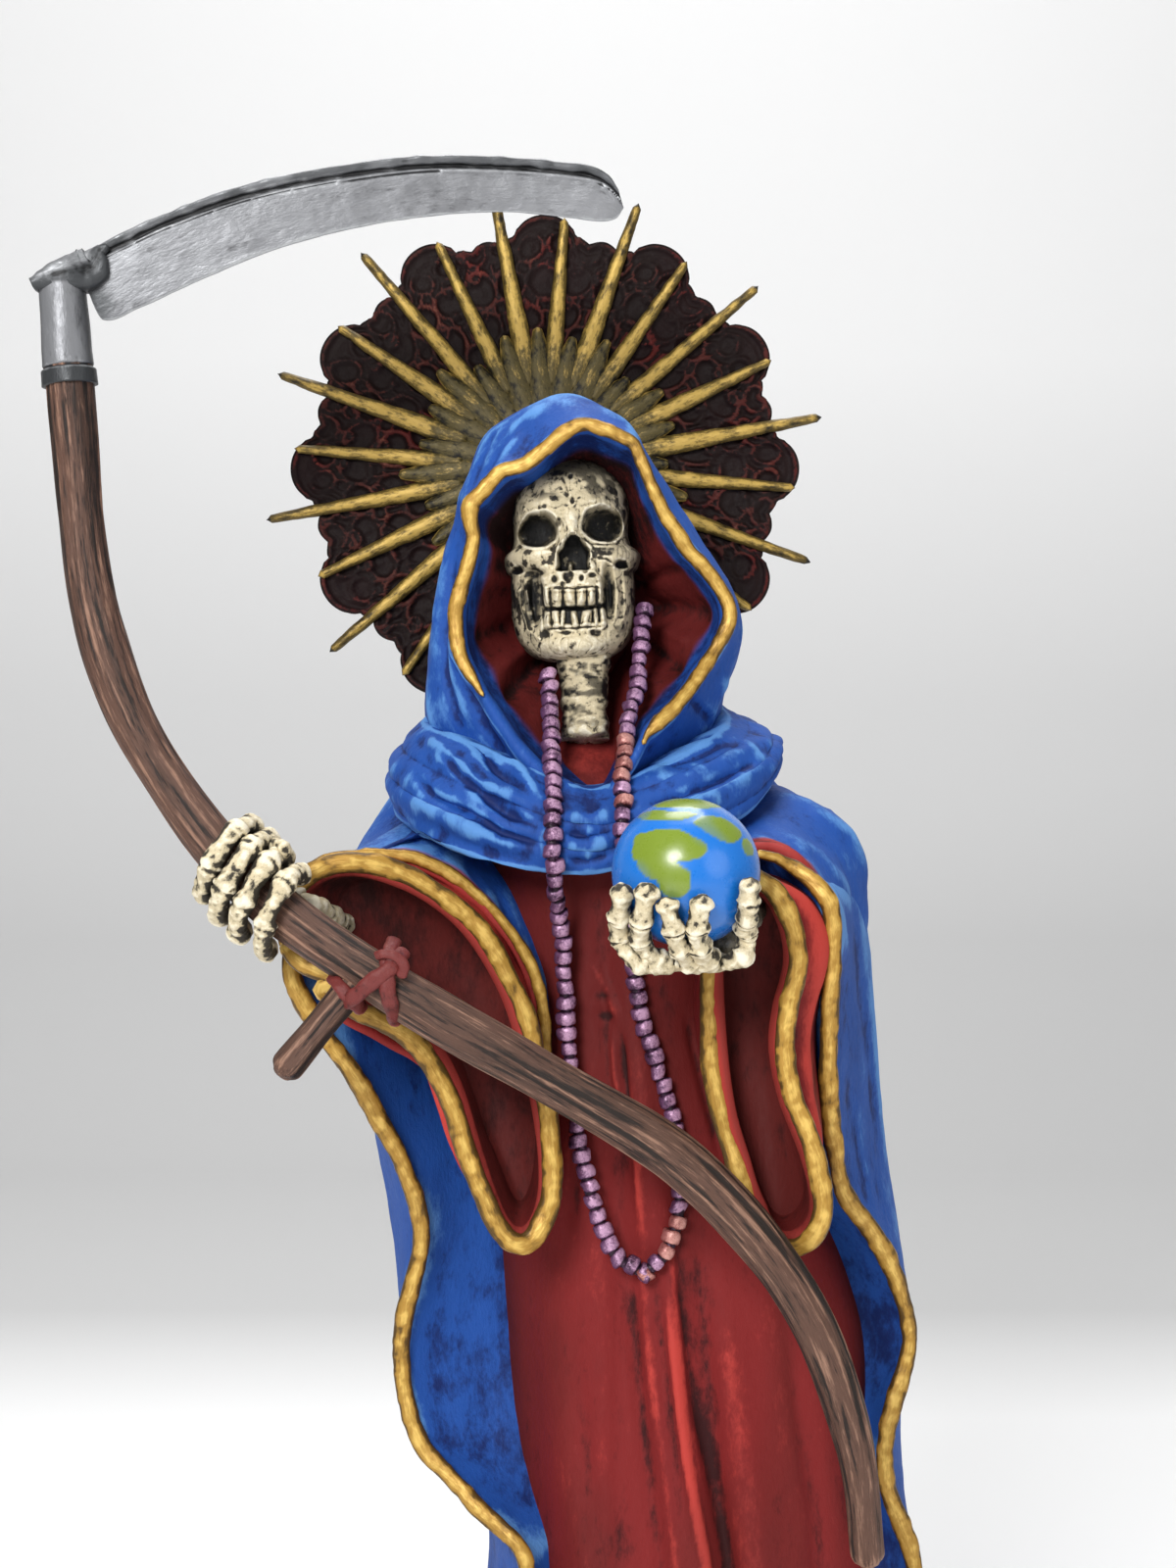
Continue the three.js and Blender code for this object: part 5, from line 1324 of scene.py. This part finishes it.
# The blade's outline: pairs of points on its back and its edge, as x and z, from the heel to the tip.
blade_outline = np.array([
    [-116, 336, -114.4, 329.5], [-113.5, 337.6, -111.6, 324.3], [-106, 341.4, -104.5, 326.6],
    [-99, 344.6, -97.9, 329.7], [-85.5, 349.7, -83.2, 336.4], [-70, 353.4, -68.4, 341.3],
    [-51.7, 356.1, -49.9, 344.9], [-35, 356.2, -35, 345.9], [-24, 355.4, -23, 344.9],
    [-19, 354.5, -17.5, 344.3], [-16.2, 352.9, -14.6, 344.9], [-14.4, 350.6, -13.2, 346.9],
])
BLADE_THICKNESS = 3.2
BLADE_DEPTH = -36
# The outline of the wedge over the blade's heel: x, top and foot.
heel_outline = [
    [-124.2, 331.5, 329.4], [-122.5, 333, 329.4], [-119.9, 334.8, 329.4], [-117, 336.3, 329.4],
    [-114.7, 337.4, 329.6], [-113.2, 338, 330.6], [-111.8, 338.4, 335.6], [-110.4, 338.6, 337.4],
]
# Half thickness by distance below the back: a round spine and the groove under it. The cheek thins to the
# edge.
blade_spine = table([[0, 0.5], [0.3, 0.95], [0.9, 1], [1.5, 0.85], [1.8, 0.4], [2.3, 0.4], [2.9, 0.62]])


def blade():
    """Sections drawn between the back and the edge of the outline, and given thickness to front and
    back."""
    reach = reach_along(blade_outline[:, :2])
    rows = table(np.column_stack([reach, blade_outline]))(np.linspace(0, reach[-1], 220))
    depth = mix(BLADE_DEPTH, -30, smooth(rows[0], -116, -15))
    back, edge = place(rows[0], depth, rows[1]), place(rows[2], depth, rows[3])
    down = np.r_[np.linspace(0, 0.24, 22), np.linspace(0.26, 1, 18)]
    width = np.linalg.norm(edge - back, axis=1)[:, None]
    below = width * down
    spine = np.where(below < 2.9, blade_spine(below)[0], 0) * smooth(3.2 - below, 0, 0.6)
    cheek = mix(0.62, 0.14, down) * smooth(below, 1.8, 2.9) * smooth(below, 2.6, 3.2)
    thick = np.maximum(spine + cheek, 0.12) * BLADE_THICKNESS / 2
    both, out = np.r_[down, down[::-1]], np.concatenate([-thick, thick[:, ::-1]], 1)
    grid = back[:, None] + (edge - back)[:, None] * both[:, None] + out[..., None] * [0, 1, 0]
    below = np.concatenate([below, below[:, ::-1]], 1)
    on_spine = smooth(below, 2.5, 2.1)
    heel = place(-113, 0, 327)
    at_heel = smooth(5 - np.hypot(grid[..., 0] - heel[0], grid[..., 2] - heel[2]), 0, 3)
    tint = 0.8 * on_spine * (0.75 + 0.5 * noise(grid, 3, 92)) + 0.9 * at_heel
    flow = np.stack(np.broadcast_arrays(both * width, out, reach_along(back)[:, None]), -1)
    s = surface(grid, flow=flow, tint=np.clip(tint, 0, 1))
    s = relieved(s, 0.2 * rough_noise(grid, 5, 3, 91) + 0.25 * on_spine * noise(grid, 2.6, 93))
    groove = 0.8 * bump(below - 2.0, 0.45)
    dull_edge = 0.5 * smooth(1.2 - (width - below), 0, 1.2) * smooth(noise(grid, 4, 94), -0.2, 0.5)
    s["wash"] = np.clip(groove + dull_edge, 0, 1)
    return hollows(s, 3, 0.16)


def ferrule():
    """A sleeve with a ring at its foot, and the wedge of the blade's heel over it."""
    line = at([[-119.3, BLADE_DEPTH, 331.5], [-118.6, BLADE_DEPTH, 322], [-117.7, BLADE_DEPTH, 311.9]])
    t = np.linspace(0, 1, 100)[:, None]
    ring = smooth(t, 0.84, 0.86)
    radius = 4.35 + 0.55 * t + 0.35 * ring - 0.3 * bump(t - 0.83, 0.012) + 0.15 * bump(t, 0.03)
    sleeve = tube(route(line, 100), radius, (0, -1, 0), 48, ends=False)
    sleeve = relieved(sleeve, 0.16 * rough_noise(sleeve["grid"] * [1, 1, 0.5], 3, 3, 95))
    # Painted shade: the sleeve darkens on its sides and at its top under the heel's wedge. Its ring at the
    # foot is darker.
    sides = smooth(np.abs(np.sin(circle(48))), 0.72, 1)
    sleeve["tint"] = np.clip(0.75 * sides + ring + 0.7 * smooth(0.07 - t, 0, 0.05), 0, 1)
    x = np.linspace(heel_outline[0][0], heel_outline[-1][0], 60)
    top, foot = (np.interp(x, *np.transpose(heel_outline)[[0, k]]) for k in (1, 2))
    middle = place(x, BLADE_DEPTH, (top + foot) / 2)
    deep = mix(4.2, 2.2, smooth(x, -119, -111))
    wedge = slab(middle, deep, (top - foot) / 2, (0, -1, 0), 32, 6.0, ends=False)
    wedge = relieved(wedge, 0.3 * rough_noise(wedge["grid"], 2.6, 3, 97))
    # Painted light: the wedge is paler on its upper part and darker below.
    high = smooth(wedge["grid"][..., 2] - middle[:, None, 2], 0.35, 0.8)
    wedge = {**hollows(wedge, 3, 0.14), "tint": 0.95 - 0.6 * high, "worn": 0.5 * high}
    return [hollows(sleeve, 3, 0.12), wedge]


# Hands
FINGER = 2.1
GRIP_GAP = 0.36
GRIP_SPACING = 4.65
# Fingers of the fist, from the highest: share of the grip's radius, degrees of its start and end from the
# front, and share of a finger's thickness.
grip_fingers = [
    (1.0, -92, 112, 0.98), (1.06, -98, 122, 1.06), (1.06, -100, 120, 1.02), (1.0, -96, 128, 0.95),
]


def bony(line, radius, joints, reference, sides=20, seed=101, flanks=0.0):
    """A finger: a bar that swells at each joint, given as shares of its length, and is waisted between.
    flanks darkens both its sides, where fingers lie against each other, with dark paint and painted shade.
    The creases by the joints are dark, and its other faces paler."""
    t = np.linspace(0, 1, len(line))[:, None]
    swell = 0.82 + 0.3 * sum(bump(t - j, 0.05) for j in joints)
    crease = sum((bump(t - j - 0.012, 0.014) for j in joints[1:-1]), 0 * t)
    s = tube(line, radius * (swell - 0.14 * crease), reference, sides)
    s = relieved(s, 0.55 * rough_noise(s["grid"], 2.8, 3, seed) + 0.2 * noise(s["grid"], 0.9, seed + 7))
    sideways = np.abs(np.cos(circle(sides)))
    s["wash"] = np.clip(flanks * smooth(sideways, 0.6, 0.95) + 0.35 * crease, 0, 1)
    s["worn"] = 0.35 * smooth(sideways, 0.8, 0.4)
    return hollows(s, 4, 0.3, axis=0)


def bone_ball(centre, radii, seed, rows=36, columns=48):
    """An ellipsoid roughened by noise."""
    pole = np.pi / 2 - 0.05
    up, angle = np.meshgrid(np.linspace(-pole, pole, rows), circle(columns), indexing="ij")
    shell = np.stack([np.cos(up) * np.cos(angle), np.cos(up) * np.sin(angle), np.sin(up)], -1)
    grid = centre + shell * np.asarray(radii)
    return hollows(relieved(surface(grid), 0.5 * rough_noise(grid, 3.2, 3, seed)), 4, 0.2)


def right_hand():
    """Four fingers that loop round the shaft from behind, the palm behind it, the thumb and the wrist."""
    length = reach_along(shaft_line)[-1]
    grip = SHAFT_RADIUS * 1.03 + GRIP_GAP + FINGER
    made = []
    for n, (wide, start, end, thick) in enumerate(grip_fingers):
        centre, along, front, side = on_shaft(FIST + (n - 1.5) * GRIP_SPACING / length)
        line = loop_round(centre, along, front, side, grip * wide, start, end, 2.0, 90)
        line = route([line[0] - front * 3.5 - side * 0.3, *line[::6]], 90)
        made.append(bony(line, FINGER * thick, [0.08, 0.34, 0.62, 0.92], along, seed=101 + n, flanks=0.8))
    centre, along, front, side = on_shaft(FIST)
    palm = centre - front * grip - side * 2 + along * np.linspace(-8.5, 8.5, 50)[:, None]
    # Painted shade: the palm, behind the shaft, takes half the dark tint.
    made.append({**bony(palm, 3.4, [0.15, 0.5, 0.85], side, 24, 105), "tint": 0.5})
    thumb = route([
        centre - front * grip * 0.6 - side * grip * 0.9 - along * 5,
        centre - side * grip * 1.2 - along * 2 + front,
        centre - side * grip * 1.3 + along * 1.2 + front * 3.2], 60)
    made.append(bony(thumb, FINGER * 0.86, [0.1, 0.5, 0.93], along, seed=106, flanks=0.4))
    forearm = at([[-71, -45, 214.5], [-67.5, -38, 211], [-66, -26, 209]])
    wrist = route([centre - front * grip + along * 4, *forearm], 80)
    # Painted shade: the wrist, inside the sleeve, takes the dark tint.
    made.append({**bony(wrist, 2.1, [0.5, 0.62, 0.75], (0, 0, 1), 24, 107), "tint": 0.4})
    return made


globe_centre = (globe_low + globe_high) / 2
GLOBE_RADIUS = (globe_high[2] - globe_low[2]) / 2
# Fingers round the globe: the path of each from tip to palm, as x and z, and its share of a finger's
# thickness. Each runs on a shell round the globe where it can.
globe_fingers = [
    ([(-13.8, 218.9), (-14.5, 213.7), (-14.2, 209.6), (-12, 206), (-7.5, 204.4)], 0.98),
    ([(-9.7, 219.4), (-10.5, 213.7), (-10.8, 209.4), (-8.8, 206), (-4.5, 204.3)], 1.0),
    ([(-6.7, 217.2), (-5.8, 213.7), (-4.5, 209.4), (-1.9, 205.4), (0.6, 204.2)], 0.96),
    ([(-0.2, 217.7), (-1, 212.9), (-0.7, 208.7), (1.5, 205.4), (3.4, 204.3)], 1.02),
    ([(8.1, 220.3), (7.6, 214.6), (7.7, 209.6), (7, 206.4), (3.5, 204.4)], 0.96),
]


def on_globe(radius, turn, rise):
    """Points round the globe's centre: turn is counted from the front to the figure's left, and rise
    upwards."""
    way = np.stack([np.cos(rise) * np.sin(turn), -np.cos(rise) * np.cos(turn), np.sin(rise)], -1)
    return globe_centre + radius * way


def left_hand():
    """Five fingers that stand against a shell round the globe, the palm under it, and the wrist."""
    shell = GLOBE_RADIUS + 0.3 + FINGER
    made = []
    for n, (path, thick) in enumerate(globe_fingers):
        x, z = np.array(path).T
        points = place(x, 0 * x, z)
        room = shell**2 - (points[:, 0] - globe_centre[0]) ** 2 - (points[:, 2] - globe_centre[2]) ** 2
        points[:, 1] = globe_centre[1] - np.sqrt(np.maximum(room, [4, 4, 16, 16, 9]))
        joints = [0.06, 0.32, 0.56, 0.84] if n < 4 else [0.04, 0.2, 0.38, 0.55, 0.8]
        made.append(bony(route(points, 90), FINGER * thick, joints, (1, 0, 0), seed=111 + n, flanks=0.5))
    under = globe_centre + [1, 2, -shell - 0.4]
    made.append(bone_ball(under, [8.6, 6.6, 1.9], 117))
    wrist = route([under + [5, 3, 1], *at([[8, -50, 212], [11, -40, 213], [12.5, -30, 211]])], 60)
    # Painted shade: the wrist, inside the sleeve, takes most of the dark tint.
    made.append({**bony(wrist, 3.0, [0.2, 0.4], (1, 0, 0), 24, 119), "tint": 0.85})
    return made


# Lands of the globe: degrees east and north of the middle, half width and half height in degrees, and
# slant.
lands = [
    [-20, 21, 30, 15, 0], [-11, -4, 14, 16, 0], [-24, 8, 18, 12, 0], [-32, 51, 30, 6, 0.1],
    [-4, 68, 52, 8, 0], [20, 74, 40, 9, 0], [34, 38, 21, 13, -0.5], [60, 20, 10, 8, 0],
    [120, 20, 26, 26, 0], [170, -22, 18, 16, 0.3], [-120, 30, 24, 22, 0], [-140, -18, 14, 22, 0],
    [90, -40, 16, 8, 0],
]


def globe():
    """A ball whose lands are painted: each is an ellipse on it, and noise makes their coasts wander."""
    around = np.linspace(-np.pi, np.pi, 180, endpoint=False)
    rise, turn = np.meshgrid(np.radians(np.linspace(-89.5, 89.5, 104)), around, indexing="ij")
    grid = on_globe(GLOBE_RADIUS, turn, rise)
    wobble = 0.35 * noise(grid, 4.5, 121) + 0.22 * noise(grid, 1.9, 122)
    land = np.full(grid.shape[:2], -1.0)
    for east, north, wide, high, slant in lands:
        off_north = np.degrees(rise) - north
        off_east = ((np.degrees(turn) - east + 180) % 360 - 180) * np.cos(rise) - slant * off_north
        land = np.maximum(land, 1 - np.hypot(off_east / wide, off_north / high))
    painted = smooth(land + 0.45 * wobble, 0.02, 0.06)
    pale = smooth(noise(grid, 5.5, 124), 0.0, 0.5)
    s = surface(grid, tint=painted * (1 - 0.3 * pale), worn=painted * 0.25 * pale)
    return relieved(s, 0.05 * painted)


# Halo: a scalloped disc with long and short rays and a ring of leaves.
HALO_RADIUS = 55.5
HALO_SPAN = 62.0
HALO_THICKNESS = 2.6
RAYS = 24
RAY_TURN = 0.3
RAY_RISE = 1.9
LACE_ROWS, LACE_COLUMNS = 74, 580
LACE_SUNK = 1.4
halo_front = halo_high[1] - HALO_THICKNESS
halo_centre = place(-29.4, 0, 305.4)
# Rows of lace rings: radius of the row, rings in it, radius and width of a ring, and turn in ring pitches.
lace_rows = [
    [0.60, 24, 3.6, 0.75, 0.5], [0.74, 36, 3.4, 0.7, 0.0], [0.87, 48, 2.6, 0.6, 0.5],
    [0.66, 48, 1.6, 0.5, 0.0], [0.80, 48, 1.5, 0.5, 0.25], [0.50, 24, 3.0, 0.8, 0.0],
]


def halo_point(radius, turn, out):
    """A point of the halo at a radius and a turn clockwise from the top, this far in front of the disc's
    face."""
    radius, turn, out = np.broadcast_arrays(radius, turn, out)
    x, z = radius * np.sin(turn), radius * np.cos(turn)
    return np.stack([halo_centre[0] + x, halo_front - out, halo_centre[2] + z], -1)


def halo_outline(turn):
    """A large round lobe behind each short ray, and low scallops between."""
    step = 2 * TAU / RAYS
    part = turn / step - np.round(turn / step)
    lobe = np.sqrt(np.clip(1 - (part / 0.25) ** 2, 0, None))
    small = np.abs(np.cos(TAU * 2 * part)) * smooth(np.abs(part), 0.2, 0.27)
    return HALO_RADIUS * (0.9 + 0.1 * lobe + 0.022 * small)


def to_nearest(radius, turn, row_radius, count, shift):
    """Distance to the nearest of a ring of centres."""
    pitch = TAU / count
    part = turn / pitch - shift
    part = (part - np.round(part)) * pitch
    return np.hypot(radius - row_radius * np.cos(part), row_radius * np.sin(part))


def halo_disc():
    """The scalloped disc: raised rings of lace over its sunk face, a double rim, and a flat rough back."""
    t, turn = np.meshgrid(np.linspace(0.05, 1, LACE_ROWS), circle(LACE_COLUMNS), indexing="ij")
    radius = t * halo_outline(turn)
    flat = halo_point(radius, turn, 0.0)
    bend_r, bend_t = 1.3 * noise(flat, 7, 136), 0.025 * noise(flat, 7, 137)
    edge = halo_outline(turn) - radius
    ring_rise = 1.45 + 0.5 * noise(flat, 4, 138)
    double_rim = [1.5 * bump(edge - 0.9, 0.8), 1.0 * bump(edge - 3.2, 0.7)]
    raised = [*double_rim, LACE_SUNK - 1.0 * smooth(radius, 22, 26)]
    for row, count, ring, wide, shift in lace_rows:
        off = to_nearest(radius + bend_r, turn + bend_t, row * HALO_RADIUS, count, shift)
        raised += [ring_rise * bump(off - ring, wide), 0.8 * bump(off, 0.6)]
    height = np.maximum.reduce(raised) - LACE_SUNK + 0.4 * rough_noise(flat, 2.6, 3, 131)
    front = halo_point(radius, turn, height)
    wash = np.clip(0.2 - height, 0, 1)
    patches = smooth(noise(flat, 6, 139), -0.5, 0.5) * smooth(radius, 24, 32)
    worn = 0.7 * smooth(height, -0.1, 0.45) * patches
    tint = smooth(noise(front, 9, 133), -0.1, 0.5)
    rim = halo_point(radius[-1:], turn[-1:], np.array([[-0.6], [-HALO_THICKNESS]]))
    back_t = np.linspace(0.96, 0.05, 12)[:, None]
    back = halo_point(back_t * halo_outline(turn[:1]), turn[:1], -HALO_THICKNESS)
    back = back - (0.1 + 0.2 * np.abs(noise(back, 3, 135)))[..., None] * [0, 1, 0]
    behind = np.full((len(rim) + len(back), LACE_COLUMNS), 0.3)
    wash, worn, tint = (np.concatenate([front_value, behind]) for front_value in (wash, worn, tint))
    return surface(np.concatenate([front, rim, back]), wash=wash, worn=worn, tint=tint)


def ray_surface(turn, start, end, root_width, tip_width, rise, seed, leaf=0.0):
    """A ray or leaf: a ridge on the disc that tapers from its root to a blunt tip. A leaf is flatter, keeps
    its width longer and has a raised crease and bright edges."""
    t = np.linspace(0, 1, 40)[:, None]
    angle = circle(16)
    up = np.abs(np.sin(angle))
    blunt = np.sqrt(np.clip((1 - t) / 0.03, 0, 1)) * 0.95 + 0.05
    half = mix(root_width, tip_width, t ** (0.9 + 1.0 * leaf)) / 2 * blunt
    side = np.sign(np.cos(angle)) * np.abs(np.cos(angle)) ** mix(0.9, 0.6, leaf) * half
    crown = up ** mix(1.5, 4.0, leaf) * mix(1, 0.55, leaf) + leaf * 0.45 * up**0.5
    front = crown * rise * mix(1, 0.65, t) * (0.3 + 0.7 * blunt)
    high = np.where(np.sin(angle) > 0, front, -crown * 0.8) + 0.25
    radius = mix(start, end, t)
    grid = halo_point(radius, turn, high) + side[..., None] * [np.cos(turn), 0, -np.sin(turn)]
    flow = np.stack(np.broadcast_arrays(side, high, radius), -1)
    grid, flow, side, high = (a[:, ::-1] for a in (grid, flow, side, high))
    s = relieved(surface(grid, flow=flow), 0.25 * rough_noise(grid, 2.4, 3, seed))
    crest = smooth(high, 0.62 * rise, 0.9 * rise)
    edge = leaf * smooth(np.abs(side) / (half + 0.01), 0.7, 0.95)
    # Painted shade where the ray meets the disc. Towards the root it is darker paint, and its crest and a
    # leaf's edges are paler.
    s["wash"] = np.clip(0.8 * (high < 0.5) + 0.7 * smooth(radius, 33, 23) * (1 - crest) * (1 - edge), 0, 1)
    bright = mix(0.7, 0.15, leaf) * crest * smooth(radius, 20, 32)
    s["worn"] = np.clip(bright + 0.9 * edge * (high > 0.4), 0, 1)
    s["tint"] = np.clip(leaf * 0.9 + 0.8 * smooth(radius, 34, 24), 0, 1)
    return hollows(s, 3, 0.4, axis=0)


def halo_rays():
    """Short and long rays by turns, each a little different, and a leaf after each."""
    made = []
    for n in range(RAYS):
        turn = TAU * (n + RAY_TURN) / RAYS
        tip = HALO_RADIUS * 0.985 if n % 2 == 0 else HALO_SPAN * (0.985 + 0.015 * np.sin(3.1 * n))
        made.append(ray_surface(turn, 18, tip, 5.0 + 0.5 * np.sin(1.7 * n), 1.9, RAY_RISE - 0.3, 141 + n))
        leaf_turn = turn + TAU / RAYS * (0.5 + 0.06 * np.sin(4.1 * n))
        leaf_end = 29.5 + 2.6 * np.sin(2.3 * n)
        made.append(ray_surface(leaf_turn, 10, leaf_end, 8.2, 1.6, RAY_RISE + 0.3, 171 + n, 1.0))
    return made


def base():
    """An oval block with rounded edges, its top a little uneven. Each ring has a share of the half sizes
    and a height."""
    rings = [(0.6, 0.0), (0.98, 0.0)]
    rings += [(0.98 + 0.02 * np.sin(a), 0.8 - 0.8 * np.cos(a)) for a in (0.8, 1.6)]
    rings += [(1.0, z) for z in np.linspace(2, 11.8, 14)]
    rings += [(1 - 0.05 * (1 - np.cos(a)), 12 + 2.9 * np.sin(a)) for a in np.linspace(0.15, 1.57, 8)]
    rings += [(r, 14.9) for r in np.linspace(0.93, 0.05, 26)]
    wide, z = np.array(rings).T[..., None]
    half, middle = (base_high - base_low) / 2, (base_high + base_low) / 2
    x = middle[0] + wide * half[0] * np.sin(circle(180))
    y = middle[1] - wide * half[1] * np.cos(circle(180))
    grid = np.stack(np.broadcast_arrays(x, y, base_low[2] + z), -1)
    s = relieved(surface(grid), -0.25 * np.minimum(z / 6, 1) * np.abs(rough_noise(grid, 6, 3, 201)))
    return hollows(s, 6, 0.3)


# The pieces
drapes = bell_surface("right_drape", 211, 0.9), bell_surface("left_drape", 213, 0.9)
piece("cloak", [cloak(), *drapes], blue, ["figure"])
piece("cowl", [cowl()], blue)
piece("hood", [hood()], blue)
piece("gown", [gown()], red)
piece("sleeves", [bell_surface("right_sleeve", 221), bell_surface("left_sleeve", 223)], red)
cloak_edges = [
    edge_trim(left_edge, 214, 231), edge_trim(right_edge, 221, 233, [(-3.5, -0.6, 1.7), (-7.5, -1, 2.7)]),
    bell_trim("right_drape", 0.0, 0.5, 1.2, 235),
]
piece("cloak_trim", cloak_edges, gold)
cuffs = [bell_trim("right_sleeve", 0.0, 1.0, 1.95, 241), bell_trim("left_sleeve", 0.0, 1.0, 1.9, 243)]
piece("sleeve_trim", cuffs, gold)
piece("hood_trim", [hood_trim()], gold)
piece("skull", [skull()], bone)
piece("neck", [neck()], bone)
piece("scythe_hand", right_hand(), bone)
piece("globe_hand", left_hand(), bone)
piece("necklace", beads(), mauve)
piece("shaft", [shaft(), peg()], wood, ["scythe"])
piece("lashing", lashing(), cord_red)
piece("blade", [blade(), *ferrule()], steel)
piece("painted_globe", [globe()], globe_paint, ["globe"])
piece("halo_lace", [halo_disc()], lace, ["halo"])
piece("halo_rays", halo_rays(), ray_gold)
piece("oval_base", [base()], base_paint, ["base"])


# Floor, light and camera


def stage():
    """A pale floor that sweeps up into a pale backdrop, as one profile drawn out sideways. Painted shade
    greys it in a band behind the figure, and it grows pale again high on the backdrop: its paint follows
    how far a point lies back and up."""
    bend = np.linspace(0, np.pi / 2, 24)
    y = np.r_[-2500, 950, 950 + 300 * np.sin(bend), 1250]
    z = np.r_[0, 0, 300 - 300 * np.cos(bend), 3200]
    x = np.array([-4000.0, 4000.0])
    grid = np.stack([*(np.broadcast_to(v, (2, len(y))) for v in (x[:, None], y[None], z[None]))], -1)
    mesh = bpy.data.meshes.new("floor")
    quads, _, _ = grid_faces(2, len(y), False, (False, False), 0)
    mesh.from_pydata((grid.reshape(-1, 3) * MM).tolist(), [], quads[:, ::-1].tolist())
    mesh.polygons.foreach_set("use_smooth", np.ones(len(quads), bool))
    material = bpy.data.materials.new("pale_floor")
    material.use_nodes = True
    n = Nodes(material.node_tree)
    where = n.add("ShaderNodeTexCoord").outputs["Object"]
    where = n.add("ShaderNodeSeparateXYZ", inputs={0: where}).outputs
    # Painted shade: grey 0.9 under the figure, 0.6 behind it and up the bend, and 0.95 high on the
    # backdrop.
    back_and_up = n.maths("MULTIPLY", n.maths("ADD", where["Y"], where["Z"]), 0.5)
    ramp = n.add("ShaderNodeValToRGB", inputs={0: back_and_up})
    stops = ramp.color_ramp.elements
    stops[0].position, stops[1].position = 0.2, 0.9
    for position in (0.29, 0.66):
        stops.new(position)
    for stop, grey in zip(stops, (0.9, 0.6, 0.62, 0.95)):
        stop.color = (grey, grey, grey, 1)
    shader = material.node_tree.nodes["Principled BSDF"]
    material.node_tree.links.new(ramp.outputs["Color"], shader.inputs["Base Color"])
    shader.inputs["Roughness"].default_value = 0.9
    mesh.materials.append(material)
    floor = bpy.data.objects.new("floor", mesh)
    bpy.context.scene.collection.objects.link(floor)


def soft_light(name, position, aim, size, power):
    """A round area light at a position, turned to its aim."""
    light = bpy.data.lights.new(name, "AREA")
    light.shape, light.size, light.energy = "DISK", size, power
    made = bpy.data.objects.new(name, light)
    made.location = position
    made.rotation_euler = (Vector(aim) - Vector(position)).to_track_quat("-Z", "Y").to_euler()
    bpy.context.scene.collection.objects.link(made)


stage()
CHEST = (-0.02, 0, 0.22)
soft_light("key", (-0.35, -0.95, 0.66), CHEST, 0.42, 10)
soft_light("fill", (0.7, -0.7, 0.45), CHEST, 0.7, 2.0)
soft_light("top", (0.0, 0.15, 1.1), CHEST, 0.6, 4)
soft_light("backdrop_light", (0, 0.5, 1.7), (0, 1.25, 0.6), 1.0, 11)

world = bpy.data.worlds.new("pale_room")
world.use_nodes = True
world.node_tree.nodes["Background"].inputs["Color"].default_value = (0.9, 0.9, 0.9, 1)
world.node_tree.nodes["Background"].inputs["Strength"].default_value = 0.24
bpy.context.scene.world = world

# The camera looks level along +Y, 480 mm in front of the figure, with 320 mm of it in the picture's height.
CAMERA_DISTANCE, VIEW_HEIGHT = 0.48, 0.32
camera = bpy.data.cameras.new("camera")
camera.sensor_width = 36
camera.lens = 36 * CAMERA_DISTANCE / VIEW_HEIGHT
eye = bpy.data.objects.new("camera", camera)
eye.location = (-0.02, -CAMERA_DISTANCE, 0.237)
eye.rotation_euler = (np.pi / 2, 0, 0)
bpy.context.scene.collection.objects.link(eye)
bpy.context.scene.camera = eye
bpy.context.scene.view_settings.view_transform = "Standard"
